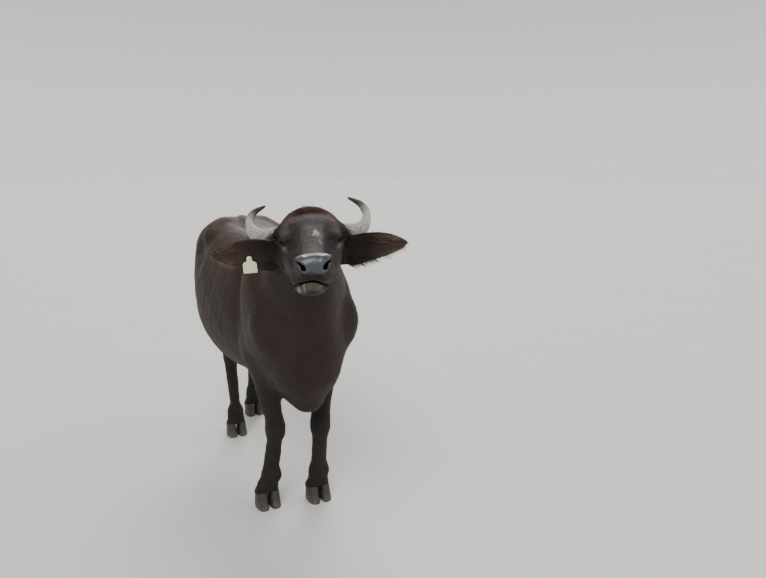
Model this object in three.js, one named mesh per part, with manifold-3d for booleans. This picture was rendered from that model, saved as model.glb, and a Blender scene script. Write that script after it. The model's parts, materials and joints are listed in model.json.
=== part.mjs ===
// A water buffalo of the river type, a nearly grown female, as a still life-size model.
// It stands square on, head raised and nose held forward, with a tag in its right ear.
// Millimetres, +Z up. The animal faces -Y and its left side is +X.
// While it is built the origin lies on the floor midway between the fore feet.
import * as THREE from 'three';
import { mergeVertices } from 'three/addons/utils/BufferGeometryUtils.js';
import Module from 'manifold-3d';

const wasm = await Module();
wasm.setup();

// Driving dimensions of the whole animal
const GAP = 0.3;                 // clearance kept between neighbouring pieces
const CLEAR = GAP + 0.1;         // how much a piece is grown before it cuts its neighbour
const WITHERS_Z = 1322;          // top of the shoulders above the floor
const HIP_Z = 1318;              // top of the hip bones
const BELLY_Z = 556;             // lowest line of the belly
const BARREL_HALF = 314;         // half the width of the belly
const RUMP_Y = 1250;             // hindmost flesh, at the pin bones
const CHEST_Y = -165;            // foremost flesh of the trunk, under the neck
const BODY_SIDES = 32;           // points round a ring of the trunk, neck or head
const LEG_SIDES = 16;            // points round a ring of a leg
const TRUNK_REACH = 520;         // how far a ring of the trunk looks for its skin
const HEAD_REACH = 260;          // how far a ring of the head looks for its skin

// How each leg stands: the foot and the joint above it sideways from the midline, and the toe tip along it
const STANCE = {
  foreleg_left: { side: 1, foot: 92, joint: 108, toe: -25 },
  foreleg_right: { side: -1, foot: 146, joint: 98, toe: 27 },
  hindleg_left: { side: 1, foot: 104, joint: 104, toe: 1162 },
  hindleg_right: { side: -1, foot: 78, joint: 90, toe: 895 },
};
const TOE_TO_AXIS = 66;          // from the toe tip back to the middle of the foot

// The head: where the point midway between the eyes lies, and how the head is turned
const EYES_AT = [-101, -460, 1325];
const HEAD_TURN = 19;            // degrees that the nose points to the animal's right
const NOSE_DROP = 7.9;           // degrees that the line from eyes to nostrils falls
const CHEW = 12;                 // how far the lower jaw is swung to the animal's right
const HEAD_ROLL = 2.8;           // degrees that the left eye is held higher

const EYE_RADIUS = 19.5;
const EYE_AT = [88, -6, 6];      // left eyeball in the head's own frame

const rad = THREE.MathUtils.degToRad;
const V = (x, y, z) => new THREE.Vector3(x, y, z);

// The head's own frame: x to its left, -y along the nose, z up, the eyes at y = 0
const HEAD = new THREE.Matrix4()
  .makeTranslation(...EYES_AT)
  .multiply(new THREE.Matrix4().makeRotationZ(rad(-HEAD_TURN)))
  .multiply(new THREE.Matrix4().makeRotationX(rad(NOSE_DROP)))
  .multiply(new THREE.Matrix4().makeRotationY(rad(-HEAD_ROLL)));
const HEAD_BACK = HEAD.clone().invert();
const inHead = (form) => (p) => form(V(...p).applyMatrix4(HEAD_BACK).toArray());
const fromHead = (x, y, z) => V(x, y, z).applyMatrix4(HEAD);

// Forms. Each is a function of a point that is below zero inside the form and rises
// outwards by about a millimetre a millimetre.
const ball = ([cx, cy, cz], [rx, ry, rz]) => ([x, y, z]) => {
  const [u, v, w] = [(x - cx) / rx, (y - cy) / ry, (z - cz) / rz];
  const k = Math.hypot(u, v, w);
  return k < 1e-6 ? -Math.min(rx, ry, rz) : k * (k - 1) / Math.hypot(u / rx, v / ry, w / rz);
};

// A round bar from a to b whose radius runs from ra to rb; flat narrows it sideways.
const limb = (a, b, ra, rb, flat = 1) => {
  const along = V(...b).sub(V(...a)).divide(V(flat, 1, 1));
  const length = along.lengthSq();
  return ([x, y, z]) => {
    const [px, py, pz] = [(x - a[0]) / flat, y - a[1], z - a[2]];
    const t = THREE.MathUtils.clamp((px * along.x + py * along.y + pz * along.z) / length, 0, 1);
    const away = Math.hypot(px - along.x * t, py - along.y * t, pz - along.z * t);
    return away - (ra + (rb - ra) * t);
  };
};

const softMin = (a, b, k) => {
  const h = Math.max(k - Math.abs(a - b), 0) / k;
  return Math.min(a, b) - h * h * k / 4;
};
const blend = (k, ...forms) => (p) => forms.map((f) => f(p)).reduce((a, b) => softMin(a, b, k));
const bothSides = (form) => ([x, y, z]) => form([Math.abs(x), y, z]);

// A smooth curve through the keys, given as rows of a place and then its values.
const curveThrough = (rows) => (at) => {
  const last = rows.length - 1;
  const t = THREE.MathUtils.clamp(at, rows[0][0], rows[last][0]);
  const i = Math.min(Math.max(rows.findIndex((r) => r[0] >= t) - 1, 0), last - 1);
  const [r0, r1, r2, r3] = [rows[Math.max(i - 1, 0)], rows[i], rows[i + 1], rows[Math.min(i + 2, last)]];
  const span = r2[0] - r1[0];
  const s = (t - r1[0]) / span;
  return r1.slice(1).map((v, k) => {
    const m1 = (r2[k + 1] - r0[k + 1]) / (r2[0] - r0[0]) * span;
    const m2 = (r3[k + 1] - r1[k + 1]) / (r3[0] - r1[0]) * span;
    const [a, b] = [s * s * (3 - 2 * s), s * (1 - s)];
    return v * (1 - a) + r2[k + 1] * a + b * ((1 - s) * m1 - s * m2);
  });
};

// The trunk: rows of y, top, bottom, half width, height of the widest place
const trunkAt = curveThrough([
  [CHEST_Y, 1120, 640, 110, 830],
  [-40, 1235, 560, 180, 840],
  [110, WITHERS_Z, BELLY_Z + 8, 214, 860],
  [300, 1302, BELLY_Z + 14, 268, 870],
  [500, 1286, BELLY_Z, BARREL_HALF - 12, 870],
  [680, 1294, BELLY_Z + 18, BARREL_HALF, 885],
  [840, HIP_Z, 640, 296, 940],
  [980, HIP_Z - 8, 745, 262, 1000],
  [1110, 1262, 850, 210, 1050],
  [1200, 1200, 940, 140, 1075],
  [RUMP_Y, 1120, 1030, 60, 1080],
]);
const SECTION_POWER = 2.2;
const trunkBarrel = ([x, y, z]) => {
  const [top, bottom, half, mid] = trunkAt(y);
  const tall = z > mid ? top - mid : mid - bottom;
  const [u, v] = [Math.abs(x / half), Math.abs((z - mid) / tall)];
  const k = (u ** SECTION_POWER + v ** SECTION_POWER) ** (1 / SECTION_POWER);
  const side = (k - 1) * Math.sqrt(half * tall);
  const beyond = Math.max(CHEST_Y - y, y - RUMP_Y, 0);
  return beyond > 0 ? (side > 0 ? Math.hypot(side, beyond) : beyond) : side;
};
const hipBone = bothSides(limb([112, 890, 1236], [174, 838, 1212], 76, 54));
const pinBone = bothSides(limb([60, 1150, 1165], [100, 1228, 1120], 60, 34));
const brisket = blend(
  40,
  limb([0, -120, 720], [0, 60, 650], 128, 92),
  limb([0, -96, 596], [0, 60, 600], 80, 66),
);
const udder = bothSides(ball([45, 1010, 735], [70, 115, 80]));
const chest = ball([0, -60, 870], [205, 185, 250]);
const trunk = blend(60, trunkBarrel, chest, brisket, hipBone, pinBone, udder);

// The neck, from the shoulders up to the poll and the throat
const neck = blend(
  50,
  limb([0, 60, 1178], fromHead(0, 128, 14).toArray(), 134, 84, 1),
  limb([0, -10, 1010], fromHead(0, 128, -50).toArray(), 238, 96, 0.96),
  limb([0, -110, 850], fromHead(0, 122, -84).toArray(), 168, 62, 0.94),
);

// The head, in its own frame
const skull = blend(
  26,
  ball([0, 75, 16], [112, 128, 80]),
  ball([0, 86, 44], [92, 92, 46]),
  bothSides(limb([50, 116, 24], [112, 122, 4], 54, 36)),
  bothSides(limb([74, 36, 12], [...EYE_AT], 43, EYE_RADIUS + 5.5)),
  bothSides(limb([94, 36, 34], [88, -26, 27], 17, 11)),
  bothSides(limb([84, 60, -30], [58, -90, -34], 36, 26)),
);
const face = blend(
  30,
  limb([0, 0, 8], [0, -225, -12], 78, 48, 0.86),
  limb([0, 20, 32], [0, -262, -6], 46, 30, 1.15),
  ball([0, -262, -18], [62, 46, 44]),
  bothSides(limb([20, -260, -44], [56, -230, -50], 24, 25)),
  bothSides(limb([58, 20, -66], [44, -190, -62], 32, 28)),
);
const jaw = blend(
  30,
  limb([56, 60, -96], [24 - CHEW, -206, -96], 38, 25),
  limb([-56, 60, -96], [-24 - CHEW, -206, -96], 38, 25),
  ball([-CHEW, -228, -90], [53, 46, 33]),
  bothSides(ball([66, 50, -74], [40, 88, 74])),
  limb([0, 110, -70], [0, -120, -86], 66, 38),
);
const nosePad = blend(10, ball([0, -284, -4], [54, 24, 34]), bothSides(ball([38, -274, 6], [24, 25, 25])));
const headForm = blend(16, blend(34, skull, face, jaw), nosePad);

const wholeNeck = blend(45, trunk, neck, inHead(headForm));
const headShape = (p) => wholeNeck(fromHead(...p).toArray());

// Rings. A ring is a centre, the two directions of its plane, and how far to look for the form's edge.
const upright = (centre, lean, reach) => ({
  centre,
  across: V(1, 0, 0),
  up: V(0, Math.sin(rad(lean)), Math.cos(rad(lean))),
  reach,
});
const level = (centre, reach, lean = 0) => ({
  centre,
  across: V(1, 0, 0),
  up: V(0, -Math.cos(rad(lean)), Math.sin(rad(lean))),
  reach,
});

// How far the form goes from a point in a direction.
const STEPS = 40;
function edgeOf(form, from, way, reach) {
  const at = (r) => form([from.x + way.x * r, from.y + way.y * r, from.z + way.z * r]);
  let out = reach / STEPS;
  while (out < reach && at(out) < 0) out += reach / STEPS;
  let inner = Math.max(out - reach / STEPS, 0);
  for (let i = 0; i < 12; i += 1) {
    const mid = (inner + out) / 2;
    if (at(mid) < 0) inner = mid;
    else out = mid;
  }
  return Math.min(inner, reach);
}

// The same ring with its centre moved to the middle of the form, and the form's shape in that plane.
function centred(form, { centre, across, up, reach }) {
  const spans = [across, up].map((way) => [1, -1].map((sign) => (
    edgeOf(form, centre, way.clone().multiplyScalar(sign), reach)
  )));
  const middle = centre.clone();
  spans.forEach(([ahead, behind], k) => middle.addScaledVector(k ? up : across, (ahead - behind) / 2));
  const [wide, tall] = spans.map(([ahead, behind]) => ahead + behind);
  return { centre: middle, across, up, reach, stretch: tall / wide };
}

// A closed skin through rings of points, with a fan at each end.
function closeRings(rings, tips = []) {
  const sides = rings[0].length;
  const middle = (ring) => ring.reduce((s, p) => s.add(p), V(0, 0, 0)).divideScalar(sides);
  const points = [...rings.flat(), tips[0] ?? middle(rings[0]), tips[1] ?? middle(rings.at(-1))];
  const index = [];
  const end = rings.length * sides;
  for (let i = 0; i < sides; i += 1) {
    const j = (i + 1) % sides;
    for (let r = 0; r + 1 < rings.length; r += 1) {
      const [a, b, c, d] = [r * sides + i, r * sides + j, (r + 1) * sides + j, (r + 1) * sides + i];
      index.push(a, b, d, b, c, d);
    }
    index.push(end, j, i, end + 1, end - sides + i, end - sides + j);
  }
  return new THREE.BufferGeometry().setFromPoints(points).setIndex(index);
}

// A skin wrapped on a form: every point is found by walking out from its ring's centre.
function sleeve(form, rings, sides, { grow = 0, tips = [] } = {}) {
  const found = rings.map((ring) => {
    const { centre, across, up, reach, stretch } = centred(form, centred(form, ring));
    return Array.from({ length: sides }, (_, i) => {
      const turn = (i + 0.5) / sides * 2 * Math.PI;
      const way = across.clone().multiplyScalar(Math.sin(turn));
      way.addScaledVector(up, stretch * Math.cos(turn)).normalize();
      return centre.clone().addScaledVector(way, edgeOf(form, centre, way, reach) + grow);
    });
  });
  return closeRings(found, tips);
}

// A tapered bar along a curve; sizeAt gives its two radii and the plane of the wide one.
function taper(curve, steps, sides, sizeAt) {
  const rings = Array.from({ length: steps + 1 }, (_, k) => {
    const t = k / steps;
    const [wide, thin, wideWay] = sizeAt(t);
    const ahead = curve.getTangent(t);
    const across = wideWay.clone().addScaledVector(ahead, -wideWay.dot(ahead)).normalize();
    const up = ahead.clone().cross(across);
    return Array.from({ length: sides }, (_, i) => {
      const turn = i / sides * 2 * Math.PI;
      const point = curve.getPoint(t).addScaledVector(across, wide * Math.cos(turn));
      return point.addScaledVector(up, thin * Math.sin(turn));
    });
  });
  return closeRings(rings);
}

// A thin leaf with two like faces: at gives a point and thickness for t along and v across.
function leaf(at, along, acrossCount) {
  const rings = Array.from({ length: along + 1 }, (_, k) => {
    const t = k / along;
    const face = (side) => Array.from({ length: acrossCount + 1 }, (_, i) => {
      const v = side * (2 * i / acrossCount - 1);
      const [point, thick, out] = at(t, v);
      return point.clone().addScaledVector(out, side * thick / 2);
    });
    return [...face(1), ...face(-1)];
  });
  return closeRings(rings);
}

// A seeded draw between low and high, the same on every run.
function dice(seed) {
  let state = seed;
  return (low, high) => {
    state = (state * 16807) % 2147483647;
    return low + (high - low) * state / 2147483647;
  };
}

// A flat, tapered lock of hair. It leaves root along way, lies flat against out,
// and its tip is moved by bend.
const LONG_LOCK = [[0, 0.5], [0.38, 1], [0.74, 0.66]];
const SHORT_LOCK = [[0, 0.8], [0.5, 1]];
function lock(shape, root, way, out, { long, wide, thick, bend }) {
  const side = way.clone().cross(out).normalize();
  const face = side.clone().cross(way).normalize();
  const at = (t) => root.clone().addScaledVector(way, long * t).addScaledVector(bend, long * t * t);
  const rings = shape.map(([t, full]) => [[1, 0], [0, 1], [-1, 0], [0, -1]].map(([a, b]) => at(t)
    .addScaledVector(side, a * wide / 2 * full)
    .addScaledVector(face, b * thick / 2 * full)));
  return closeRings(rings, [undefined, at(1)]);
}

// Solids: the same shapes, ready to be joined and cut
function solid(geometry, matrix) {
  const g = geometry.clone();
  ['normal', 'uv'].forEach((name) => g.deleteAttribute(name));
  if (matrix) g.applyMatrix4(matrix);
  const merged = mergeVertices(g, 1e-3);
  const [p, index] = [merged.attributes.position, merged.index.array];
  const corner = (i) => V().fromBufferAttribute(p, index[i]);
  let volume = 0;
  for (let i = 0; i < index.length; i += 3) volume += corner(i).dot(corner(i + 1).cross(corner(i + 2)));
  const triVerts = Uint32Array.from(index);
  if (volume < 0) triVerts.reverse();
  return new wasm.Manifold(new wasm.Mesh({ numProp: 3, vertProperties: p.array, triVerts }));
}
const join = (first, ...rest) => rest.reduce((sum, s) => sum.add(s), first);
const without = (first, ...rest) => rest.reduce((sum, s) => sum.subtract(s), first);

const part = new THREE.Group();
const finishes = {};
const finish = (name, color, roughness, metalness = 0) => {
  finishes[name] = new THREE.MeshStandardMaterial({ color, roughness, metalness });
};
finish('hide', 0x2a211e, 0.8);
finish('horn', 0xa9a79f, 0.5);
finish('hoof', 0x23211f, 0.6);
finish('eye', 0x120d0a, 0.1);
finish('tag', 0xd9d6b8, 0.5);

// Adds a node: the largest closed body of the solid.
function node(name, finishName, body) {
  const largest = body.decompose().sort((a, b) => b.volume() - a.volume())[0];
  const mesh = largest.getMesh();
  const geometry = new THREE.BufferGeometry();
  geometry.setAttribute('position', new THREE.BufferAttribute(mesh.vertProperties, 3));
  geometry.setIndex(new THREE.BufferAttribute(mesh.triVerts, 1));
  const piece = new THREE.Mesh(geometry, finishes[finishName]);
  piece.name = name;
  part.add(piece);
}

// The cut between torso and neck runs from before the withers down to the brisket.
const NECK_CUT_LEAN = 22;
const NECK_CUT = V(0, -85, 1010);
const NECK_AHEAD = V(0, -Math.cos(rad(NECK_CUT_LEAN)), Math.sin(rad(NECK_CUT_LEAN)));
const TORSO_PLACES = [1238, 1212, 1170, 1110, 1045, 975, 905, 835, 750, 650, 540, 430, 320, 220, 130, 60, 10,
  -30];
const torsoRings = (shift) => {
  const rings = TORSO_PLACES.map((y) => {
    const [top, bottom] = trunkAt(y);
    const turned = THREE.MathUtils.smoothstep(200 - y, 0, 285);
    const z = THREE.MathUtils.lerp((top + bottom) / 2 + 20, NECK_CUT.z, turned);
    return upright(V(0, y, z), NECK_CUT_LEAN * turned, TRUNK_REACH);
  });
  const cut = NECK_CUT.clone().addScaledVector(NECK_AHEAD, -shift);
  return [...rings, upright(cut, NECK_CUT_LEAN, TRUNK_REACH)];
};
const torsoSkin = (grow, shift) => solid(sleeve(wholeNeck, torsoRings(shift), BODY_SIDES, {
  grow,
  tips: [V(0, RUMP_Y + 4 + grow, 1078)],
}));
const torso = torsoSkin(0, 0);
const torsoClear = torsoSkin(CLEAR, -1);

// The neck's rings turn from the torso's cut to the plane between poll and throat.
const HEAD_CUT = { y: 128, z: -28, lean: 20 };
const headRing = (y, z, lean) => ({
  centre: fromHead(0, y, z),
  across: V(1, 0, 0).transformDirection(HEAD),
  up: V(0, Math.sin(rad(lean)), Math.cos(rad(lean))).transformDirection(HEAD),
  reach: HEAD_REACH,
});
const neckRings = (count, from) => {
  const start = upright(NECK_CUT.clone().addScaledVector(NECK_AHEAD, from), NECK_CUT_LEAN, TRUNK_REACH);
  const end = headRing(HEAD_CUT.y + GAP * 1.1, HEAD_CUT.z, HEAD_CUT.lean);
  return Array.from({ length: count + 1 }, (_, k) => {
    const t = k / count;
    return {
      centre: start.centre.clone().lerp(end.centre, t),
      across: start.across.clone().lerp(end.across, t).normalize(),
      up: start.up.clone().lerp(end.up, t).normalize(),
      reach: THREE.MathUtils.lerp(TRUNK_REACH, HEAD_REACH, t),
    };
  });
};
const NECK_RINGS = 9;
const neckSolid = solid(sleeve(wholeNeck, neckRings(NECK_RINGS, GAP), BODY_SIDES));
const neckClear = solid(sleeve(wholeNeck, neckRings(NECK_RINGS, 0), BODY_SIDES, { grow: CLEAR }));

// The head's rings crowd together where the muzzle ends.
const HEAD_TIP = { y: -305, z: -14 };
const headPlaces = [HEAD_CUT.y, 110, 92, 74, 56, 40, 24, 8, -8, -26, -46, -72, -102, -134, -164, -190, -212,
  -230, -246, -260, -272, -283, -293, -301, HEAD_TIP.y];
const headRings = (places) => places.map((y) => {
  const along = THREE.MathUtils.inverseLerp(HEAD_CUT.y, HEAD_TIP.y, y);
  const lean = HEAD_CUT.lean * (1 - THREE.MathUtils.smoothstep(along, 0, 0.45));
  return headRing(y, THREE.MathUtils.lerp(HEAD_CUT.z, HEAD_TIP.z, along), lean);
});
const headSkin = (places, grow) => solid(sleeve(wholeNeck, headRings(places), BODY_SIDES, {
  grow,
  tips: [undefined, fromHead(0, HEAD_TIP.y - 2, HEAD_TIP.z)],
}));

const mirror = new THREE.Matrix4().makeScale(-1, 1, 1);
const sides = { left: HEAD, right: HEAD.clone().multiply(mirror) };

// The slit of the eye, an almond that opens towards the eye's own way of looking
const EYE_WAY = V(0.78, -0.62, 0.06).normalize();
const eyeBall = (grow) => new THREE.SphereGeometry(EYE_RADIUS + grow, 12, 7).translate(...EYE_AT);
const SLIT_LONG = 18.5;
const SLIT_HIGH = 8;
const eyeFrame = new THREE.Matrix4().lookAt(EYE_WAY, V(0, 0, 0), V(0, 0, 1)).setPosition(...EYE_AT);
const almond = (t, size, depth) => V(
  SLIT_LONG * size * Math.cos(t),
  SLIT_HIGH * size * Math.sin(t) * (1 - 0.25 * Math.cos(t) ** 2),
  depth,
).applyMatrix4(eyeFrame);
const slitCutter = closeRings([EYE_RADIUS - 9, EYE_RADIUS + 24].map((depth, k) => Array.from(
  { length: 12 },
  (_, i) => almond(i / 12 * 2 * Math.PI, k === 0 ? 0.9 : 1.25, depth),
)));

// The lids: two bent bars that frame the slit, the upper one fuller
const LIDS = [{ way: 1, thick: 5.2, size: 1.16 }, { way: -1, thick: 3.6, size: 1.12 }];
const LID_SWEEP = 1.16;          // half turns that a lid runs round the slit
const lids = LIDS.map(({ way, thick, size }) => {
  const keys = Array.from({ length: 7 }, (_, i) => {
    const turn = way * (i / 6 * LID_SWEEP - (LID_SWEEP - 1) / 2) * Math.PI;
    return almond(turn, size, EYE_RADIUS - 1.5);
  });
  return taper(new THREE.CatmullRomCurve3(keys), 7, 6, (t) => {
    const full = thick * (0.35 + 0.65 * Math.sin(Math.PI * t));
    return [full, full * 0.8, EYE_WAY];
  });
});

// The mouth stands a little open along a line that arches over the lower lip.
const MOUTH_CORNER = 66;
const MOUTH_SIDE = -15;          // the mouth's middle goes with the jaw
const mouthLine = (x) => -56 - 15 * Math.min(Math.abs(x) / MOUTH_CORNER, 1.2) ** 2;
const MOUTH_ROOT = -215;         // where its corners lie along the nose
const MOUTH_LONG = 82;
const mouthCutter = leaf((t, v) => {
  const turn = (t - 0.5) * 1.08 * Math.PI;
  const inset = THREE.MathUtils.mapLinear(v, -1, 1, 0.6, 1.5);
  const x = MOUTH_CORNER * inset * Math.sin(turn);
  const y = MOUTH_ROOT - MOUTH_LONG * inset * Math.cos(turn);
  const gape = 6 + 5 * Math.sin(turn) ** 4;
  return [V(x + MOUTH_SIDE, y, mouthLine(x)), gape * (1 - 0.3 * v), V(0, 0, 1)];
}, 16, 1);

// A nostril is a comma: a round pit with a slit that curls up and out.
const NOSTRIL = [
  { at: [37, -293, 5], turn: [0, 0.5, 0.5], size: [8.5, 20, 10] },
  { at: [47, -286, 13], turn: [0, -0.75, 0.6], size: [12, 18, 4.5] },
];
const nostril = NOSTRIL.map(({ at, turn, size }) => {
  const turned = new THREE.Quaternion().setFromEuler(new THREE.Euler(...turn));
  const place = new THREE.Matrix4().compose(V(...at), turned, V(...size));
  return new THREE.SphereGeometry(1, 10, 6).applyMatrix4(place);
});

const onBothSides = (geometries) => Object.values(sides).flatMap(
  (matrix) => geometries.map((g) => solid(g, matrix)),
);

// Horns: flattened bars that leave the head behind the eyes, sweep back and curl in, ridged at the root
const HORN_KEYS = [
  [84, 108, 6], [130, 128, -2], [176, 148, -8], [214, 180, 2], [232, 218, 32], [216, 254, 64], [166, 284, 86],
];
const HORN = { root: 35, tip: 4, flat: 0.68, ridges: 11, ridge: 0.9, ridgedTo: 0.55 };
const HORN_RISE = { left: 16, right: 0 };   // how much higher each tip is carried
const hornGeometry = (rise) => {
  const keys = HORN_KEYS.map(([x, y, z], k) => {
    const lift = rise * (k / (HORN_KEYS.length - 1)) ** 2;
    return V(x - 0.4 * lift, y, z + lift);
  });
  return taper(new THREE.CatmullRomCurve3(keys), 22, 10, (t) => {
    const ridge = t < HORN.ridgedTo ? HORN.ridge * Math.cos(t * HORN.ridges * 2 * Math.PI) : 0;
    const full = THREE.MathUtils.lerp(HORN.root, HORN.tip, t ** 2.1) + ridge;
    return [full, full * HORN.flat, V(0, 0.25, 1)];
  });
};

// Ears: cupped leaves held out sideways
const EAR_ROOT = V(92, 84, -76);
const EAR_TIP = V(374, 118, -58);
const earWidth = curveThrough([[0, 48], [0.14, 58], [0.36, 60], [0.6, 52], [0.8, 37], [0.93, 20], [1, 4]]);
const earAt = (t, v) => {
  const [half] = earWidth(t);
  const cup = THREE.MathUtils.lerp(44, 7, Math.min(t * 1.6, 1) ** 0.7);
  const point = EAR_ROOT.clone().lerp(EAR_TIP, t);
  point.z += half * v + 8 * Math.sin(Math.PI * t);
  point.y += cup * (0.5 - v * v) + 6 * Math.sin(Math.PI * t);
  const lean = 2 * cup * v / half;
  return [point, THREE.MathUtils.lerp(9, 4.5, Math.abs(v)) * (1 - 0.3 * t), V(0, -1, -lean).normalize()];
};
const ear = leaf(earAt, 12, 8);
const EAR_SEED = { left: 5, right: 8 };

// The tuft on the poll: locks in rows that lie forwards over the dome of the forehead
const POLL = { rows: [138, 110, 82, 56], across: 6, spread: 60, long: 60, wide: 27, thick: 8, sink: 5 };
const slopeOf = (form, { x, y, z }) => {
  const here = form([x, y, z]);
  return V(form([x + 1, y, z]) - here, form([x, y + 1, z]) - here, form([x, y, z + 1]) - here).normalize();
};
const pollLocks = () => {
  const draw = dice(11);
  return POLL.rows.flatMap((row, r) => Array.from({ length: POLL.across - r % 2 }, (_, i) => {
    const count = POLL.across - r % 2;
    const x = POLL.spread * (2 * (i + 0.5) / count - 1) + draw(-4, 4);
    const y = row + draw(-5, 5);
    const from = V(x, y, 20);
    const root = from.clone().setZ(20 + edgeOf(headShape, from, V(0, 0, 1), 160));
    const out = slopeOf(headShape, root);
    const way = V(-x * 0.004 + draw(-0.25, 0.25), -1, 0);
    way.addScaledVector(out, -way.dot(out)).normalize().addScaledVector(out, 0.3).normalize();
    return lock(LONG_LOCK, root.addScaledVector(out, -POLL.sink), way, out, {
      long: POLL.long * draw(0.8, 1.15),
      wide: POLL.wide * draw(0.85, 1.15),
      thick: POLL.thick,
      bend: out.clone().multiplyScalar(-0.26).add(V(draw(-0.12, 0.12), 0, 0)),
    });
  }));
};

// The hair of the ears: a fringe rooted in the lower edge and the tip, and locks that cross the cup
const FRINGE = { edge: 11, cup: 4, long: 38, wide: 27, thick: 3.2 };
const earLocks = (seed) => {
  const draw = dice(seed);
  const edge = Array.from({ length: FRINGE.edge }, (_, i) => {
    const t = THREE.MathUtils.lerp(0.2, 0.94, i / (FRINGE.edge - 1));
    const [root, , out] = earAt(t, -0.8);
    const way = V(0.85 + draw(-0.1, 0.1), 0, -0.75 + 0.75 * t ** 4).normalize();
    way.addScaledVector(out, -way.dot(out)).normalize();
    return lock(SHORT_LOCK, root, way, out, {
      long: FRINGE.long * (1 - 0.45 * t * t) * draw(0.85, 1.1),
      wide: FRINGE.wide * (1.05 - 0.4 * t),
      thick: FRINGE.thick,
      bend: V(0.1, draw(-0.1, 0.1), 0.05),
    });
  });
  const cup = [-1, 1].flatMap((edgeSide) => Array.from({ length: FRINGE.cup }, (_, i) => {
    const t = 0.15 + 0.12 * i + draw(-0.01, 0.01);
    const [root, thick, out] = earAt(t, edgeSide * 0.6);
    const way = V(0.9, 0, -0.45 * edgeSide).addScaledVector(out, 0.28).normalize();
    return lock(SHORT_LOCK, root.addScaledVector(out, -thick * 0.05), way, out, {
      long: FRINGE.long * 1.7 * draw(0.9, 1.1),
      wide: FRINGE.wide,
      thick: FRINGE.thick,
      bend: out.clone().multiplyScalar(-0.1),
    });
  }));
  return [...edge, ...cup];
};

const head = without(
  join(headSkin(headPlaces, 0), ...onBothSides(lids), ...pollLocks().map((g) => solid(g, HEAD))),
  solid(mouthCutter, HEAD),
  ...onBothSides(nostril),
  ...onBothSides([slitCutter, eyeBall(GAP)]),
);
const headClear = headSkin([HEAD_CUT.y + 1, ...headPlaces], 2 * CLEAR);

// Legs. Each is a form and the line that its level rings are centred on, from its top to the hoof.
const HOOF_TOP = { z: 67, lean: 18, behind: 6 };
const digits = (x, y) => [25, -25].flatMap((out) => [
  limb([x + out * 0.6, y + 4, 105], [x + out, y, 52], 30, 31, 0.95),
  ball([x + out, y + 26, 66], [26, 26, 24]),
]);

function foreleg({ side, foot, joint, toe }) {
  const y = toe + TOE_TO_AXIS;
  const at = (x, dy, z) => [side * x, dy, z];
  const shoulder = blend(
    40,
    limb(at(128, 118, 1190), at(162, -88, 950), 84, 98, 0.78),
    ball(at(156, 50, 1040), [80, 138, 165]),
    limb(at(164, -92, 900), at(160, 85, 775), 94, 88, 0.8),
    ball(at(152, 58, 880), [78, 138, 165]),
    limb(at(158, 78, 775), at(joint + 6, y - 2, 450), 90, 50, 0.84),
  );
  const form = blend(
    24,
    shoulder,
    ball(at(joint, y - 6, 392), [50, 53, 66]),
    limb(at(joint, y - 2, 350), at((joint + foot) / 2, y + 4, 190), 39, 37),
    ball(at((joint + foot) / 2, y + 6, 152), [46, 47, 44]),
    limb(at((joint + foot) / 2, y + 4, 140), at(foot, y + 6, 84), 39, 38, 1.1),
    ...digits(side * foot, y),
  );
  const line = curveThrough([
    [HOOF_TOP.z, side * foot, y + HOOF_TOP.behind],
    [150, side * (joint + foot) / 2, y + 4],
    [350, side * joint, y - 2],
    [480, side * (joint + 10), y + 4],
    [700, side * 148, 72],
    [860, side * 155, 20],
    [1000, side * 145, -30],
    [1110, side * 128, 40],
    [1240, side * 112, 120],
  ]);
  return { form, line, top: 1238 };
}

function hindleg({ side, foot, joint, toe }) {
  const y = toe + TOE_TO_AXIS;
  const swing = y - 1090;
  const at = (x, dy, z) => [side * x, dy, z];
  const [stifle, hock] = [868 + swing * 0.3, 1078 + swing * 0.72];
  const thigh = blend(
    46,
    ball(at(142, 995, 1080), [104, 200, 195]),
    ball(at(156, 1000 + swing * 0.15, 905), [98, 190, 190]),
    limb(at(165, 960, 950), at(196, stifle + 22, 795), 118, 86, 0.74),
    limb(at(112, 1160, 1080), at(136, (hock + 1110) / 2, 770), 80, 72, 0.9),
    limb(at(178, stifle + 44, 775), at(joint + 8, hock - 4, 560), 96, 47, 0.76),
    ball(at(146, (stifle + hock) / 2 + 50, 775), [66, 130, 110]),
    limb(at(132, (hock + 1120) / 2 - 10, 740), at(joint + 6, hock + 38, 600), 58, 22, 0.8),
  );
  const form = blend(
    24,
    thigh,
    ball(at(joint + 2, hock, 512), [42, 56, 66]),
    ball(at(joint + 2, hock + 42, 560), [26, 28, 36]),
    limb(at(joint, hock + 2, 480), at(foot, y + 8, 190), 42, 36, 0.86),
    ball(at(foot, y + 8, 152), [43, 46, 44]),
    limb(at(foot, y + 6, 140), at(foot, y + 6, 84), 37, 37, 1.1),
    ...digits(side * foot, y),
  );
  const line = curveThrough([
    [HOOF_TOP.z, side * foot, y + HOOF_TOP.behind],
    [150, side * foot, y + 8],
    [330, side * (foot + joint) / 2, (y + hock) / 2 + 4],
    [510, side * joint, hock + 4],
    [620, side * (joint + 22), (hock * 2 + stifle) / 3 + 20],
    [760, side * 155, (hock + stifle) / 2 + 10],
    [880, side * 155, 1000 + swing * 0.15],
    [1080, side * 148, 995],
    [1250, side * 145, 995],
  ]);
  return { form, line, top: 1262 };
}

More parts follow.
